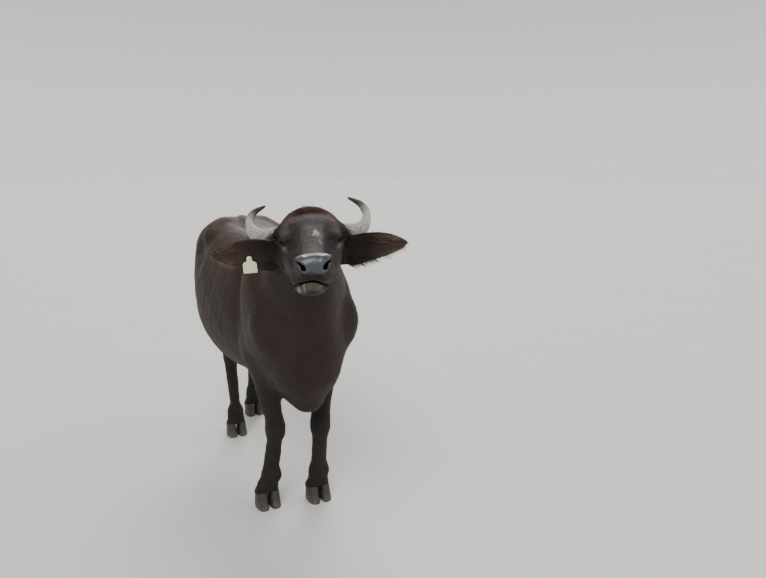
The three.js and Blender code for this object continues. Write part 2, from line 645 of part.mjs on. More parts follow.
const UPPER = { rings: 10, low: 735 };
const SHANK = { top: 600, above: 330, below: 150 };   // how far a ring looks above and below the shank's top
const SHANK_PLACES = [690, 635, 580, 540, 505, 470, 435, 400, 365, 325, 265, 205, 178, 152, 124, 92];
function legSolid({ form, line, top }) {
  const upper = Array.from({ length: UPPER.rings }, (_, k) => (
    THREE.MathUtils.lerp(top, UPPER.low, k / (UPPER.rings - 1))
  ));
  const reachAt = (z) => (z > SHANK.top ? SHANK.above : SHANK.below);
  const rings = [...upper, ...SHANK_PLACES].map((z) => level(V(...line(z), z), reachAt(z)));
  rings.push(level(V(...line(HOOF_TOP.z), HOOF_TOP.z + GAP), SHANK.below, HOOF_TOP.lean));
  return solid(sleeve(form, rings, LEG_SIDES));
}

// A claw of a cloven hoof: flat sole, straight inner wall, and a top that slopes down to the heel
const CLAW = { long: 122, wide: 56, apart: 3, outerShare: 0.62, lean: 0.13, toe: 0.21 };
const CLAW_SLICES = [[0, 0.94], [5, 1], [40, 0.95]];
function claw(x, y, out) {
  const outline = (z, size, fall) => Array.from({ length: 12 }, (_, i) => {
    const turn = i / 12 * 2 * Math.PI;
    const [c, s] = [Math.cos(turn), Math.sin(turn)];
    const share = c > 0 ? CLAW.outerShare : 1 - CLAW.outerShare;
    const blunt = Math.sign(c) * Math.abs(c) ** 0.7;
    const dy = -s * CLAW.long / 2 * size + z * (CLAW.lean + s * CLAW.toe);
    const dx = CLAW.apart + CLAW.wide * (1 - CLAW.outerShare + blunt * share * size);
    return V(x + out * dx, y + dy, z - fall * (dy - HOOF_TOP.behind));
  });
  const slices = CLAW_SLICES.map(([z, size]) => outline(z, size, 0));
  return solid(closeRings([...slices, outline(HOOF_TOP.z, 0.9, Math.tan(rad(HOOF_TOP.lean)))]));
}

// Dewclaws: two small horn points behind each fetlock
const DEWCLAW_KEYS = [[18, 28, 134], [24, 52, 124], [27, 64, 102]];
function dewclaw(x, y, out) {
  const curve = new THREE.CatmullRomCurve3(DEWCLAW_KEYS.map(([dx, dy, z]) => V(x + out * dx, y + dy, z)));
  const sizeAt = (t) => [THREE.MathUtils.lerp(17, 8, t), THREE.MathUtils.lerp(15, 7, t), V(1, 0, 0)];
  return solid(taper(curve, 3, 6, sizeAt));
}

// The tail hangs just clear of the rump and ends in a switch of hair.
const TAIL_KEYS = [
  [0, 1150, 1222], [0, 1225, 1200], [-4, 1284, 1130], [-10, 1304, 1010], [-14, 1306, 840], [-16, 1310, 680],
  [-16, 1316, 545],
];
const tailCurve = new THREE.CatmullRomCurve3(TAIL_KEYS.map((p) => V(...p)));
const tail = solid(taper(tailCurve, 17, 8, (t) => {
  const r = THREE.MathUtils.lerp(30, 11, Math.min(t * 1.5, 1) ** 0.8);
  return [r, r * 0.9, V(1, 0, 0)];
}));

// The switch: locks that spring from all round a short core and hang to a ragged point
const SWITCH = { core: 80, turns: 2, perTurn: 6, long: 200, wide: 25, thick: 8 };
const switchTop = tailCurve.getPoint(1);
const switchCore = solid(taper(
  new THREE.LineCurve3(V(0, 0, -GAP).add(switchTop), V(0, 4, -SWITCH.core).add(switchTop)),
  3, 8, (t) => [11 + 8 * t, 10 + 6 * t, V(1, 0, 0)],
));
const switchLocks = () => {
  const draw = dice(23);
  return Array.from({ length: SWITCH.turns * SWITCH.perTurn }, (_, i) => {
    const level = Math.floor(i / SWITCH.perTurn);
    const turn = (i + level * 0.5) / SWITCH.perTurn * 2 * Math.PI + draw(-0.2, 0.2);
    const out = V(Math.cos(turn), Math.sin(turn), 0);
    const root = switchTop.clone().add(V(0, 0, -20 - 40 * level)).addScaledVector(out, 6);
    return lock(LONG_LOCK, root, V(0, 0, -1).addScaledVector(out, 0.26).normalize(), out, {
      long: SWITCH.long * draw(0.72, 1) * (1 - 0.06 * level),
      wide: SWITCH.wide,
      thick: SWITCH.thick,
      bend: out.clone().multiplyScalar(-0.16).add(V(draw(-0.06, 0.06), draw(-0.06, 0.06), 0)),
    });
  });
};
const tailSwitch = join(switchCore, ...switchLocks().map((g) => solid(g)));

// The tag in the right ear: a plate with a round-topped neck on each face of the ear, and a stud between
const TAG = {
  wide: 52, high: 57, neck: 10, shoulder: 24, thick: 2.4, hole: 3.4, at: [-236, -74], front: 94, back: 118,
};
function tagPlate(y) {
  const shape = new THREE.Shape();
  const [w, n] = [TAG.wide / 2, TAG.neck];
  shape.moveTo(-w, -TAG.high).lineTo(w, -TAG.high).lineTo(w, -TAG.shoulder);
  shape.quadraticCurveTo(w, -TAG.shoulder + 10, n, -n).lineTo(n, 0);
  shape.absarc(0, 0, n, 0, Math.PI, false).lineTo(-n, -n);
  shape.quadraticCurveTo(-w, -TAG.shoulder + 10, -w, -TAG.shoulder).closePath();
  shape.holes.push(new THREE.Path().absarc(0, 0, TAG.hole, 0, 2 * Math.PI, true));
  const settings = { depth: TAG.thick, bevelEnabled: false, curveSegments: 4 };
  const plate = new THREE.ExtrudeGeometry(shape, settings);
  return plate.rotateX(Math.PI / 2).translate(TAG.at[0], y, TAG.at[1]);
}
const tagStud = () => {
  const [shaft, cap, deep] = [TAG.hole - GAP, 8, 3];
  const [near, far] = [TAG.front - TAG.thick - GAP, TAG.back + TAG.thick + GAP];
  const outline = [
    [0, near - deep], [cap, near - deep + 1], [cap, near], [shaft, near],
    [shaft, far], [cap, far], [cap, far + deep - 1], [0, far + deep],
  ];
  const profile = outline.map(([r, y]) => new THREE.Vector2(r, y));
  return new THREE.LatheGeometry(profile, 10).translate(TAG.at[0], 0, TAG.at[1]);
};
const tagFrontClear = new THREE.BoxGeometry(TAG.wide + 3, 40, TAG.high + TAG.neck + 3)
  .translate(TAG.at[0], TAG.front + CLEAR - 20, TAG.at[1] + (TAG.neck - TAG.high) / 2);
const tagShaftClear = new THREE.CylinderGeometry(TAG.hole, TAG.hole, 60, 10)
  .translate(TAG.at[0], (TAG.front + TAG.back) / 2, TAG.at[1]);

node('torso', 'hide', torso);
node('neck', 'hide', neckSolid);
node('head', 'hide', head);

for (const [name, stance] of Object.entries(STANCE)) {
  const leg = name.startsWith('fore') ? foreleg(stance) : hindleg(stance);
  const { side, foot, joint, toe } = stance;
  const y = toe + TOE_TO_AXIS;
  const fetlock = name.startsWith('fore') ? (foot + joint) / 2 : foot;
  const skin = legSolid(leg);
  node(name, 'hide', without(skin, torsoClear, neckClear));
  for (const [which, out] of [['outer', side], ['inner', -side]]) {
    node(`claw_${name}_${which}`, 'hoof', claw(side * foot, y, out));
    node(`dewclaw_${name}_${which}`, 'hoof', without(dewclaw(side * fetlock, y, out), skin));
  }
}
for (const [sideName, matrix] of Object.entries(sides)) {
  node(`eye_${sideName}`, 'eye', solid(eyeBall(0), matrix));
  const horn = solid(hornGeometry(HORN_RISE[sideName]), matrix);
  node(`horn_${sideName}`, 'horn', without(horn, headClear, neckClear));
  const room = sideName === 'right' ? [tagShaftClear, tagFrontClear].map((g) => solid(g, HEAD)) : [];
  const hairy = join(solid(ear, matrix), ...earLocks(EAR_SEED[sideName]).map((g) => solid(g, matrix)));
  node(`ear_${sideName}`, 'hide', without(hairy, headClear, neckClear, ...room));
}
node('tag_plate_front', 'tag', solid(tagPlate(TAG.front), HEAD));
node('tag_plate_back', 'tag', solid(tagPlate(TAG.back + TAG.thick), HEAD));
node('tag_stud', 'tag', solid(tagStud(), HEAD));
node('tail', 'hide', without(tail, torsoClear));
node('tail_switch', 'hide', tailSwitch);

// The finished model stands on z = 0 with its box centred over the origin.
const whole = new THREE.Box3().setFromObject(part);
const middle = whole.getCenter(V());
part.position.set(-middle.x, -middle.y, -whole.min.z);

export default part;
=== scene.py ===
"""A water buffalo as a still life-size model: its skin, coat, horns, hooves, eyes and ear tag."""
import json
import math

import bmesh
import bpy
import numpy as np
from mathutils import Matrix, Vector
from mathutils.bvhtree import BVHTree

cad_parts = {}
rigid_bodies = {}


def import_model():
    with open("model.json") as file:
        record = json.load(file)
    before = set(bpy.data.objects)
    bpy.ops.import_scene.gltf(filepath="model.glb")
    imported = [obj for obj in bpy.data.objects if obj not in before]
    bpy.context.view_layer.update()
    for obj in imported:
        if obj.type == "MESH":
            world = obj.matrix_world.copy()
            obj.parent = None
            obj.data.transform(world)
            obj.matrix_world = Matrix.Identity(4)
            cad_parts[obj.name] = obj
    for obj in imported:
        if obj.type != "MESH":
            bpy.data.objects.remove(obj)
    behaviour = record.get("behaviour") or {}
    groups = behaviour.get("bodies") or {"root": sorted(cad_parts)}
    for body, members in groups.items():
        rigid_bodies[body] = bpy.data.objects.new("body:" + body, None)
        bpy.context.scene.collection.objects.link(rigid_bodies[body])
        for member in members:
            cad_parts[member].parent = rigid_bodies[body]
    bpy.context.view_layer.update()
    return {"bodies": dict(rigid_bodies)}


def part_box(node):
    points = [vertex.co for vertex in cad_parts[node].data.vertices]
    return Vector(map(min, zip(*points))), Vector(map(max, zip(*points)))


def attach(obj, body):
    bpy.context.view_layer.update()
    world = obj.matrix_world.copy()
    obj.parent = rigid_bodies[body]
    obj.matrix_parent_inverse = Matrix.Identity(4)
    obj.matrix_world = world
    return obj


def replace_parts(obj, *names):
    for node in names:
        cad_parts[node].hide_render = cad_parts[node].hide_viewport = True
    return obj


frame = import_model()
BODY = list(frame["bodies"])[0]

# The animal's own frame: millimetres, +Z up, facing -Y, its left at +X,
# the origin on the floor midway between the fore feet
GAP = 0.3
WITHERS_Z = 1322
HIP_Z = 1318
BELLY_Z = 556
BARREL_HALF = 314
CHEST_Y = -165
RUMP_Y = 1250
STANCE = {
    "foreleg_left": dict(side=1, foot=92, joint=108, toe=-25),
    "foreleg_right": dict(side=-1, foot=146, joint=98, toe=27),
    "hindleg_left": dict(side=1, foot=104, joint=104, toe=1162),
    "hindleg_right": dict(side=-1, foot=78, joint=90, toe=895),
}
TOE_TO_AXIS = 66
HAIR_OVER_HOOF = 3
HOOF_TOP = dict(z=67, lean=18, behind=6)
EYES_AT = (-101, -460, 1325)
HEAD_TURN = 19
NOSE_DROP = 7.9
CHEW = 12
HEAD_ROLL = 2.8
EYE_RADIUS = 19.5
EYE_AT = np.array([88.0, -6.0, 6.0])


def unit(v):
    return np.asarray(v, float) / np.linalg.norm(v)


def turned(angle, axis):
    return np.array(Matrix.Rotation(math.radians(angle), 3, axis))


EYE_WAY = unit([0.78, -0.62, 0.06])
HEAD_TURNED = turned(-HEAD_TURN, "Z") @ turned(NOSE_DROP, "X") @ turned(-HEAD_ROLL, "Y")


def from_head(p):
    """Points of the head's own frame (x to its left, -y along the nose, z up) in the animal's frame."""
    return np.asarray(p, float) @ HEAD_TURNED.T + EYES_AT


def to_head(p):
    return (np.asarray(p, float) - EYES_AT) @ HEAD_TURNED


# Where the frame's origin lies: the left eyeball is at a known place in both
eye_low, eye_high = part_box("eye_left")
SHIFT = np.array((eye_low + eye_high) / 2) * 1000 - from_head(EYE_AT)


def to_world(p):
    """Millimetres of the animal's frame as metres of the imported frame."""
    return (np.asarray(p, float) + SHIFT) / 1000


def smoothstep(value, low, high):
    t = np.clip((np.asarray(value, float) - low) / (high - low), 0, 1)
    return t * t * (3 - 2 * t)


def folded(p):
    """Points with the right side laid over the left."""
    return np.abs(p * [1, 0, 0]) + p * [0, 1, 1]


def from_oval(p, centre, radii=(1, 1, 1)):
    """How far points are from an oval's centre, as shares of its radii."""
    return np.linalg.norm((p - centre) / radii, axis=1)


# Forms. Each is a function of points (n, 3) that is below zero inside the form
def ball(centre, radii):
    centre, radii = np.array(centre, float), np.array(radii, float)

    def form(p):
        q = (p - centre) / radii
        k = np.linalg.norm(q, axis=1)
        away = k * (k - 1) / np.maximum(np.linalg.norm(q / radii, axis=1), 1e-9)
        return np.where(k < 1e-3, -radii.min(), away)
    return form


def limb(a, b, ra, rb, flat=1.0):
    """A round bar from a to b whose radius runs from ra to rb; flat narrows it sideways."""
    a, b = np.array(a, float), np.array(b, float)
    narrow = np.array([flat, 1, 1])
    along = (b - a) / narrow

    def form(p):
        q = (p - a) / narrow
        t = np.clip(q @ along / (along @ along), 0, 1)
        return np.linalg.norm(q - t[:, None] * along, axis=1) - (ra + (rb - ra) * t)
    return form


def soft_min(a, b, k):
    h = np.maximum(k - np.abs(a - b), 0) / k
    return np.minimum(a, b) - h * h * k / 4


def blend(k, *forms):
    """Forms joined smoothly, over about k millimetres."""
    def form(p):
        value = forms[0](p)
        for other in forms[1:]:
            value = soft_min(value, other(p), k)
        return value
    return form


def both_sides(form):
    return lambda p: form(folded(p))


def only_near(form, centre, reach):
    """The form, worked out only for points within reach of its centre."""
    centre = np.array(centre, float)

    def near(p):
        value = np.linalg.norm(p - centre, axis=1)
        close = value < reach
        value[close] = form(p[close])
        return value
    return near


def curve_through(rows):
    """A smooth curve through rows of a place and then its values."""
    rows = np.array(rows, float)
    at, values = rows[:, 0], rows[:, 1:]

    def curve(t):
        t = np.clip(np.asarray(t, float), at[0], at[-1])
        i = np.clip(np.searchsorted(at, t) - 1, 0, len(at) - 2)
        before, after = np.maximum(i - 1, 0), np.minimum(i + 2, len(at) - 1)
        span = at[i + 1] - at[i]
        s = ((t - at[i]) / span)[..., None]
        m1 = (values[i + 1] - values[before]) * (span / (at[i + 1] - at[before]))[..., None]
        m2 = (values[after] - values[i]) * (span / (at[after] - at[i]))[..., None]
        a, b = s * s * (3 - 2 * s), s * (1 - s)
        return values[i] * (1 - a) + values[i + 1] * a + b * ((1 - s) * m1 - s * m2)
    return curve


def smooth_curve(points):
    """A smooth curve through a few points, at t from 0 to 1."""
    p = np.array(points, float)
    p = np.vstack([2 * p[0] - p[1], p, 2 * p[-1] - p[-2]])
    last = len(p) - 3

    def at(t):
        i = min(int(t * last), last - 1)
        w = t * last - i
        a, b, c, d = p[i:i + 4]
        d0, d1, d2 = (np.linalg.norm(y - x) ** 0.5 for x, y in ((a, b), (b, c), (c, d)))
        m1 = ((b - a) / d0 - (c - a) / (d0 + d1) + (c - b) / d1) * d1
        m2 = ((c - b) / d1 - (d - b) / (d1 + d2) + (d - c) / d2) * d1
        e = w * w * (3 - 2 * w)
        return b * (1 - e) + c * e + w * (1 - w) * ((1 - w) * m1 - w * m2)
    return at


# The trunk: rows of y, top, bottom, half width, height of the widest place
trunk_at = curve_through([
    [CHEST_Y, 1120, 640, 110, 830],
    [-40, 1235, 560, 180, 840],
    [110, WITHERS_Z, BELLY_Z + 8, 214, 860],
    [300, 1302, BELLY_Z + 14, 268, 870],
    [500, 1286, BELLY_Z, BARREL_HALF - 12, 870],
    [680, 1294, BELLY_Z + 18, BARREL_HALF, 885],
    [840, HIP_Z, 640, 296, 940],
    [980, HIP_Z - 8, 745, 262, 1000],
    [1110, 1262, 850, 210, 1050],
    [1200, 1200, 940, 140, 1075],
    [RUMP_Y, 1120, 1030, 60, 1080],
])
SECTION_POWER = 2.2


def trunk_barrel(p):
    top, bottom, half, mid = trunk_at(p[:, 1]).T
    tall = np.where(p[:, 2] > mid, top - mid, mid - bottom)
    across, upward = np.abs(p[:, 0] / half), np.abs((p[:, 2] - mid) / tall)
    k = (across ** SECTION_POWER + upward ** SECTION_POWER) ** (1 / SECTION_POWER)
    side = (k - 1) * np.sqrt(half * tall)
    beyond = np.maximum(np.maximum(CHEST_Y - p[:, 1], p[:, 1] - RUMP_Y), 0)
    return np.where(beyond > 0, np.where(side > 0, np.hypot(side, beyond), beyond), side)


trunk = blend(
    60,
    trunk_barrel,
    ball([0, -60, 870], [205, 185, 250]),
    blend(40, limb([0, -120, 720], [0, 60, 650], 128, 92), limb([0, -96, 596], [0, 60, 600], 80, 66)),
    both_sides(limb([112, 890, 1236], [174, 838, 1212], 76, 54)),
    both_sides(limb([60, 1150, 1165], [100, 1228, 1120], 60, 34)),
    both_sides(ball([45, 1010, 735], [70, 115, 80])),
)
neck = blend(
    50,
    limb([0, 60, 1178], from_head([0, 128, 14]), 134, 84),
    limb([0, -10, 1010], from_head([0, 128, -50]), 238, 96, 0.96),
    limb([0, -110, 850], from_head([0, 122, -84]), 168, 62, 0.94),
)

# The head, in its own frame
skull = blend(
    26,
    ball([0, 75, 16], [112, 128, 80]),
    ball([0, 86, 44], [92, 92, 46]),
    both_sides(limb([50, 116, 24], [112, 122, 4], 54, 36)),
    both_sides(limb([74, 36, 12], EYE_AT, 43, EYE_RADIUS + 5.5)),
    both_sides(limb([94, 36, 34], [88, -26, 27], 17, 11)),
    both_sides(limb([84, 60, -30], [58, -90, -34], 36, 26)),
)
face = blend(
    30,
    limb([0, 0, 8], [0, -225, -12], 78, 48, 0.86),
    limb([0, 20, 32], [0, -262, -6], 46, 30, 1.15),
    ball([0, -262, -18], [62, 46, 44]),
    both_sides(limb([20, -260, -44], [56, -230, -50], 24, 25)),
    both_sides(limb([58, 20, -66], [44, -190, -62], 32, 28)),
)
jaw = blend(
    30,
    limb([56, 60, -96], [24 - CHEW, -206, -96], 38, 25),
    limb([-56, 60, -96], [-24 - CHEW, -206, -96], 38, 25),
    ball([-CHEW, -228, -90], [53, 46, 33]),
    both_sides(ball([66, 50, -74], [40, 88, 74])),
    limb([0, 110, -70], [0, -120, -86], 66, 38),
)
nose_pad = blend(10, ball([0, -284, -4], [54, 24, 34]), both_sides(ball([38, -274, 6], [24, 25, 25])))
head_form = blend(16, blend(34, skull, face, jaw), nose_pad)


DIGIT_ASIDE = 25


def digits(x, y):
    """Forms for the two toes of a foot, above their hooves."""
    forms = []
    for out in (DIGIT_ASIDE, -DIGIT_ASIDE):
        forms.append(limb([x + out * 0.6, y + 4, 105], [x + out, y, 52], 30, 31, 0.95))
        forms.append(ball([x + out, y + 26, 66], [26, 26, 24]))
    return forms


def foreleg(side, foot, joint, toe):
    """A foreleg with its shoulder; foot and joint are how far aside its foot and knee stand."""
    y = toe + TOE_TO_AXIS
    between = (joint + foot) / 2

    def at(x, dy, z):
        return [side * x, dy, z]
    shoulder = blend(
        40,
        limb(at(128, 118, 1190), at(162, -88, 950), 84, 98, 0.78),
        ball(at(156, 50, 1040), [80, 138, 165]),
        limb(at(164, -92, 900), at(160, 85, 775), 94, 88, 0.8),
        ball(at(152, 58, 880), [78, 138, 165]),
        limb(at(158, 78, 775), at(joint + 6, y - 2, 450), 90, 50, 0.84),
    )
    return blend(
        24,
        shoulder,
        ball(at(joint, y - 6, 392), [50, 53, 66]),
        limb(at(joint, y - 2, 350), at(between, y + 4, 190), 39, 37),
        ball(at(between, y + 6, 152), [46, 47, 44]),
        limb(at(between, y + 4, 140), at(foot, y + 6, 84), 39, 38, 1.1),
        *digits(side * foot, y),
    )


HIND_FOOT_SQUARE = 1090


def hindleg(side, foot, joint, toe):
    """A hind leg; its stifle and hock follow the foot forward or back from where it stands square."""
    y = toe + TOE_TO_AXIS
    swing = y - HIND_FOOT_SQUARE
    stifle, hock = 868 + swing * 0.3, 1078 + swing * 0.72

    def at(x, dy, z):
        return [side * x, dy, z]
    thigh = blend(
        46,
        ball(at(142, 995, 1080), [104, 200, 195]),
        ball(at(156, 1000 + swing * 0.15, 905), [98, 190, 190]),
        limb(at(165, 960, 950), at(196, stifle + 22, 795), 118, 86, 0.74),
        limb(at(112, 1160, 1080), at(136, (hock + 1110) / 2, 770), 80, 72, 0.9),
        limb(at(178, stifle + 44, 775), at(joint + 8, hock - 4, 560), 96, 47, 0.76),
        ball(at(146, (stifle + hock) / 2 + 50, 775), [66, 130, 110]),
        limb(at(132, (hock + 1120) / 2 - 10, 740), at(joint + 6, hock + 38, 600), 58, 22, 0.8),
    )
    return blend(
        24,
        thigh,
        ball(at(joint + 2, hock, 512), [42, 56, 66]),
        ball(at(joint + 2, hock + 42, 560), [26, 28, 36]),
        limb(at(joint, hock + 2, 480), at(foot, y + 8, 190), 42, 36, 0.86),
        ball(at(foot, y + 8, 152), [43, 46, 44]),
        limb(at(foot, y + 6, 140), at(foot, y + 6, 84), 37, 37, 1.1),
        *digits(side * foot, y),
    )


def above_hoof(side, foot, toe):
    """Below zero above the slanting plane on which a leg meets its hoof."""
    lean = math.radians(HOOF_TOP["lean"])
    up = np.array([0, math.sin(lean), math.cos(lean)])
    on = np.array([side * foot, toe + TOE_TO_AXIS + HOOF_TOP["behind"], HOOF_TOP["z"] - HAIR_OVER_HOOF])
    return lambda p: (on - p) @ up


LEG_ASIDE, LEG_MID_Z, LEG_REACH = 130, 640, 760
LEG_Y = dict(fore=40, hind=1000)
HEAD_REACH = 420
HOOF_LINE_ROUND = 5


def leg(name):
    """The named leg down to its hooves, from its row of the stance."""
    stance = STANCE[name]
    form = (foreleg if name.startswith("fore") else hindleg)(**stance)
    plane = above_hoof(stance["side"], stance["foot"], stance["toe"])
    middle = [stance["side"] * LEG_ASIDE, LEG_Y[name[:4]], LEG_MID_Z]
    return only_near(lambda p: -soft_min(-form(p), -plane(p), HOOF_LINE_ROUND), middle, LEG_REACH)


placed_head = only_near(lambda p: head_form(to_head(p)), from_head([0, -60, -20]), HEAD_REACH)
whole_form = blend(46, blend(45, trunk, neck, placed_head), *[leg(name) for name in STANCE])


# Meshes as points and triangles: the surface of a form, finer where asked, and laid exactly on it
BLOCK = 4
BLOCK_REACH = 1.6
CORNERS = np.array([[i, j, k] for i in (0, 1) for j in (0, 1) for k in (0, 1)])
CELL_EDGES = [(a, b) for a in range(8) for b in range(a + 1, 8) if abs(CORNERS[a] - CORNERS[b]).sum() == 1]


def at_corners(grid):
    """The grid's values at the eight corners of each of its cells."""
    a, b, c = np.array(grid.shape) - 1
    return np.stack([grid[i:a + i, j:b + j, k:c + k] for i, j, k in CORNERS], -1)


def surface_net(form, low, high, step):
    """The zero surface of a form as triangles, looked for only in the blocks that it may cross."""
    low = np.array(low, float)
    blocks = np.ceil((np.array(high) - low) / (step * BLOCK)).astype(int)

    def places(index, size):
        return low + index * size
    grid = np.stack(np.meshgrid(*[np.arange(n + 1) for n in blocks], indexing="ij"), -1)
    coarse = form(places(grid.reshape(-1, 3), step * BLOCK)).reshape(grid.shape[:3])
    value = coarse[:-1, :-1, :-1]
    for axis in range(3):
        value = np.repeat(value, BLOCK, axis)
    value = np.pad(value, [(0, 1)] * 3, mode="edge").copy()
    near = np.argwhere(np.abs(at_corners(coarse)).min(-1) < step * BLOCK * BLOCK_REACH) * BLOCK
    inner = np.stack(np.meshgrid(*[np.arange(BLOCK + 1)] * 3, indexing="ij"), -1).reshape(-1, 3)
    nodes = np.unique((near[:, None] + inner).reshape(-1, 3), axis=0)
    value[tuple(nodes.T)] = form(places(nodes, step))

    inside = value < 0
    corner_in = at_corners(inside)
    cells = np.argwhere(corner_in.any(-1) & ~corner_in.all(-1))
    at_corner = np.stack([value[tuple((cells + c).T)] for c in CORNERS], 1)
    total, count = np.zeros((len(cells), 3)), np.zeros(len(cells))
    for a, b in CELL_EDGES:
        va, vb = at_corner[:, a], at_corner[:, b]
        cross = (va < 0) != (vb < 0)
        t = np.where(cross, va / np.where(cross, va - vb, 1), 0)
        total += cross[:, None] * (CORNERS[a] + t[:, None] * (CORNERS[b] - CORNERS[a]))
        count += cross
    points = places(cells + total / count[:, None], step)
    number = np.full(inside.shape, -1)
    number[tuple(cells.T)] = np.arange(len(cells))
    quads = []
    for axis in range(3):
        u, v = np.eye(3, dtype=int)[(axis + 1) % 3], np.eye(3, dtype=int)[(axis + 2) % 3]
        here = np.take(inside, range(inside.shape[axis] - 1), axis)
        there = np.take(inside, range(1, inside.shape[axis]), axis)
        for flip in (False, True):
            edge = np.argwhere(~here & there if flip else here & ~there)
            quad = np.stack([number[tuple((edge + d).T)] for d in (-u - v, -v, 0 * u, -u)], 1)
            quads.append(quad[:, ::-1] if flip else quad)
    quads = np.concatenate(quads)
    return points, np.concatenate([quads[:, [0, 1, 2]], quads[:, [0, 2, 3]]])


def refined(points, faces, longest, rounds=8):
    """Splits every edge that is longer than longest says, until none is."""
    for _ in range(rounds):
        pairs = np.sort(np.stack([faces, np.roll(faces, -1, 1)], -1).reshape(-1, 2), 1)
        keys, which = np.unique(pairs[:, 0] * len(points) + pairs[:, 1], return_inverse=True)
        ends = np.stack([keys // len(points), keys % len(points)], 1)
        middle = points[ends].mean(1)
        split = np.linalg.norm(points[ends[:, 0]] - points[ends[:, 1]], axis=1) > longest(middle)
        if not split.any():
            break
        number = np.full(len(keys), -1)
        number[split] = len(points) + np.arange(split.sum())
        points = np.vstack([points, middle[split]])
        mids = number[which].reshape(-1, 3)
        count = (mids >= 0).sum(1)
        turn = np.where(count == 1, np.argmax(mids >= 0, 1), (np.argmin(mids >= 0, 1) + 1) % 3)
        order = (np.arange(3) + turn[:, None]) % 3
        (a, b, c), (p, q, r) = (np.take_along_axis(x, order, 1).T for x in (faces, mids))
        one, two, three = count == 1, count == 2, count == 3
        parts = [faces[count == 0]]
        parts += [np.stack(t, 1)[one] for t in ((a, p, c), (p, b, c))]
        parts += [np.stack(t, 1)[two] for t in ((p, b, q), (a, p, q), (a, q, c))]
        parts += [np.stack(t, 1)[three] for t in ((a, p, r), (p, b, q), (r, q, c), (p, q, r))]
        faces = np.concatenate(parts)
    return points, faces


def slope(form, points, step=0.6):
    value = form(points)
    rise = np.stack([form(points + step * axis) - value for axis in np.eye(3)], 1) / step
    return value, rise


def even(points, faces):
    """The average of every point's neighbours."""
    pairs = np.concatenate([faces[:, [0, 1]], faces[:, [1, 2]], faces[:, [2, 0]]])
    a, b = np.concatenate([pairs, pairs[:, ::-1]]).T
    count = np.maximum(np.bincount(a, minlength=len(points)), 1)
    total = np.stack([np.bincount(a, points[b, k], len(points)) for k in range(3)], 1)
    return total / count[:, None]


def normals_of(points, faces):
    a, b, c = (points[faces[:, k]] for k in range(3))
    flat = np.cross(b - a, c - a)
    total = np.zeros(points.shape)
    for d in range(3):
        for k in range(3):
            total[:, d] += np.bincount(faces[:, k], flat[:, d], len(points))
    return total / np.maximum(np.linalg.norm(total, axis=1), 1e-12)[:, None]


def along_surface(way, normal):
    """Ways without their part along the normals."""
    return way - (way * normal).sum(1)[:, None] * normal


def laid_on(form, points, faces, rounds, farthest=12, least_steep=0.2):
    """The mesh with its points on the form's surface and spread evenly over it."""
    for turn in range(rounds):
        value, rise = slope(form, points)
        steep = np.maximum((rise ** 2).sum(1), least_steep)
        points = points - np.clip(value / steep, -farthest, farthest)[:, None] * rise
        if turn < rounds - 1:
            slide = even(points, faces) - points
            points = points + 0.5 * along_surface(slide, rise / np.sqrt(steep)[:, None])
    return points


def ring_mesh(rings):
    """A closed skin through rings of points (k, n, 3), with a fan at each end."""
    rings = np.asarray(rings, float)
    count, sides = rings.shape[:2]
    i = np.arange(sides)
    j = (i + 1) % sides
    faces = []
    for r in range(count - 1):
        a, b, c, d = r * sides + i, r * sides + j, (r + 1) * sides + j, (r + 1) * sides + i
        faces += [np.stack([a, b, d], 1), np.stack([b, c, d], 1)]
    end = count * sides
    last = end - sides
    faces += [np.stack([0 * i + end, j, i], 1), np.stack([0 * i + end + 1, last + i, last + j], 1)]
    points = np.vstack([rings.reshape(-1, 3), rings[0].mean(0), rings[-1].mean(0)])
    faces = np.concatenate(faces)
    a, b, c = (points[faces[:, k]] for k in range(3))
    if (a * np.cross(b, c)).sum() < 0:
        faces = faces[:, ::-1]
    return points, faces


def bar(curve, steps, sides, size_at):
    """A bar along a curve; size_at gives its two radii and the way of the first."""
    turn = np.linspace(0, 2 * np.pi, sides, endpoint=False)
    c, s = np.cos(turn)[:, None], np.sin(turn)[:, None]
    rings = []
    for k in range(steps + 1):
        t = k / steps
        wide, thin, wide_way = size_at(t)
        ahead = unit(curve(min(t + 1e-3, 1)) - curve(max(t - 1e-3, 0)))
        across = unit(wide_way - np.dot(wide_way, ahead) * ahead)
        up = np.cross(ahead, across)
        rings.append(curve(t) + wide * c * across + thin * s * up)
    return ring_mesh(rings)


# Objects of the scene
MERGE_WITHIN = 0.00005


def linked(name, data):
    obj = bpy.data.objects.new(name, data)
    bpy.context.collection.objects.link(obj)
    return obj


def evaluated(obj):
    return obj.evaluated_get(bpy.context.evaluated_depsgraph_get())


def new_object(name, points, faces, material=None):
    """A smooth mesh of triangles, from points of the animal's frame."""
    mesh = bpy.data.meshes.new(name)
    points = to_world(points)
    mesh.vertices.add(len(points))
    mesh.vertices.foreach_set("co", points.astype("f").ravel())
    mesh.loops.add(len(faces) * 3)
    mesh.loops.foreach_set("vertex_index", np.asarray(faces, "i").ravel())
    mesh.polygons.add(len(faces))
    mesh.polygons.foreach_set("loop_start", np.arange(0, len(faces) * 3, 3, dtype="i"))
    mesh.update(calc_edges=True)
    mesh.shade_smooth()
    if material:
        mesh.materials.append(material)
    return linked(name, mesh)


def read_mesh(mesh):
    mesh.calc_loop_triangles()
    points = np.empty(len(mesh.vertices) * 3, "f")
    mesh.vertices.foreach_get("co", points)
    faces = np.empty(len(mesh.loop_triangles) * 3, "i")
    mesh.loop_triangles.foreach_get("vertices", faces)
    return points.reshape(-1, 3).astype(float) * 1000 - SHIFT, faces.reshape(-1, 3).astype(int)


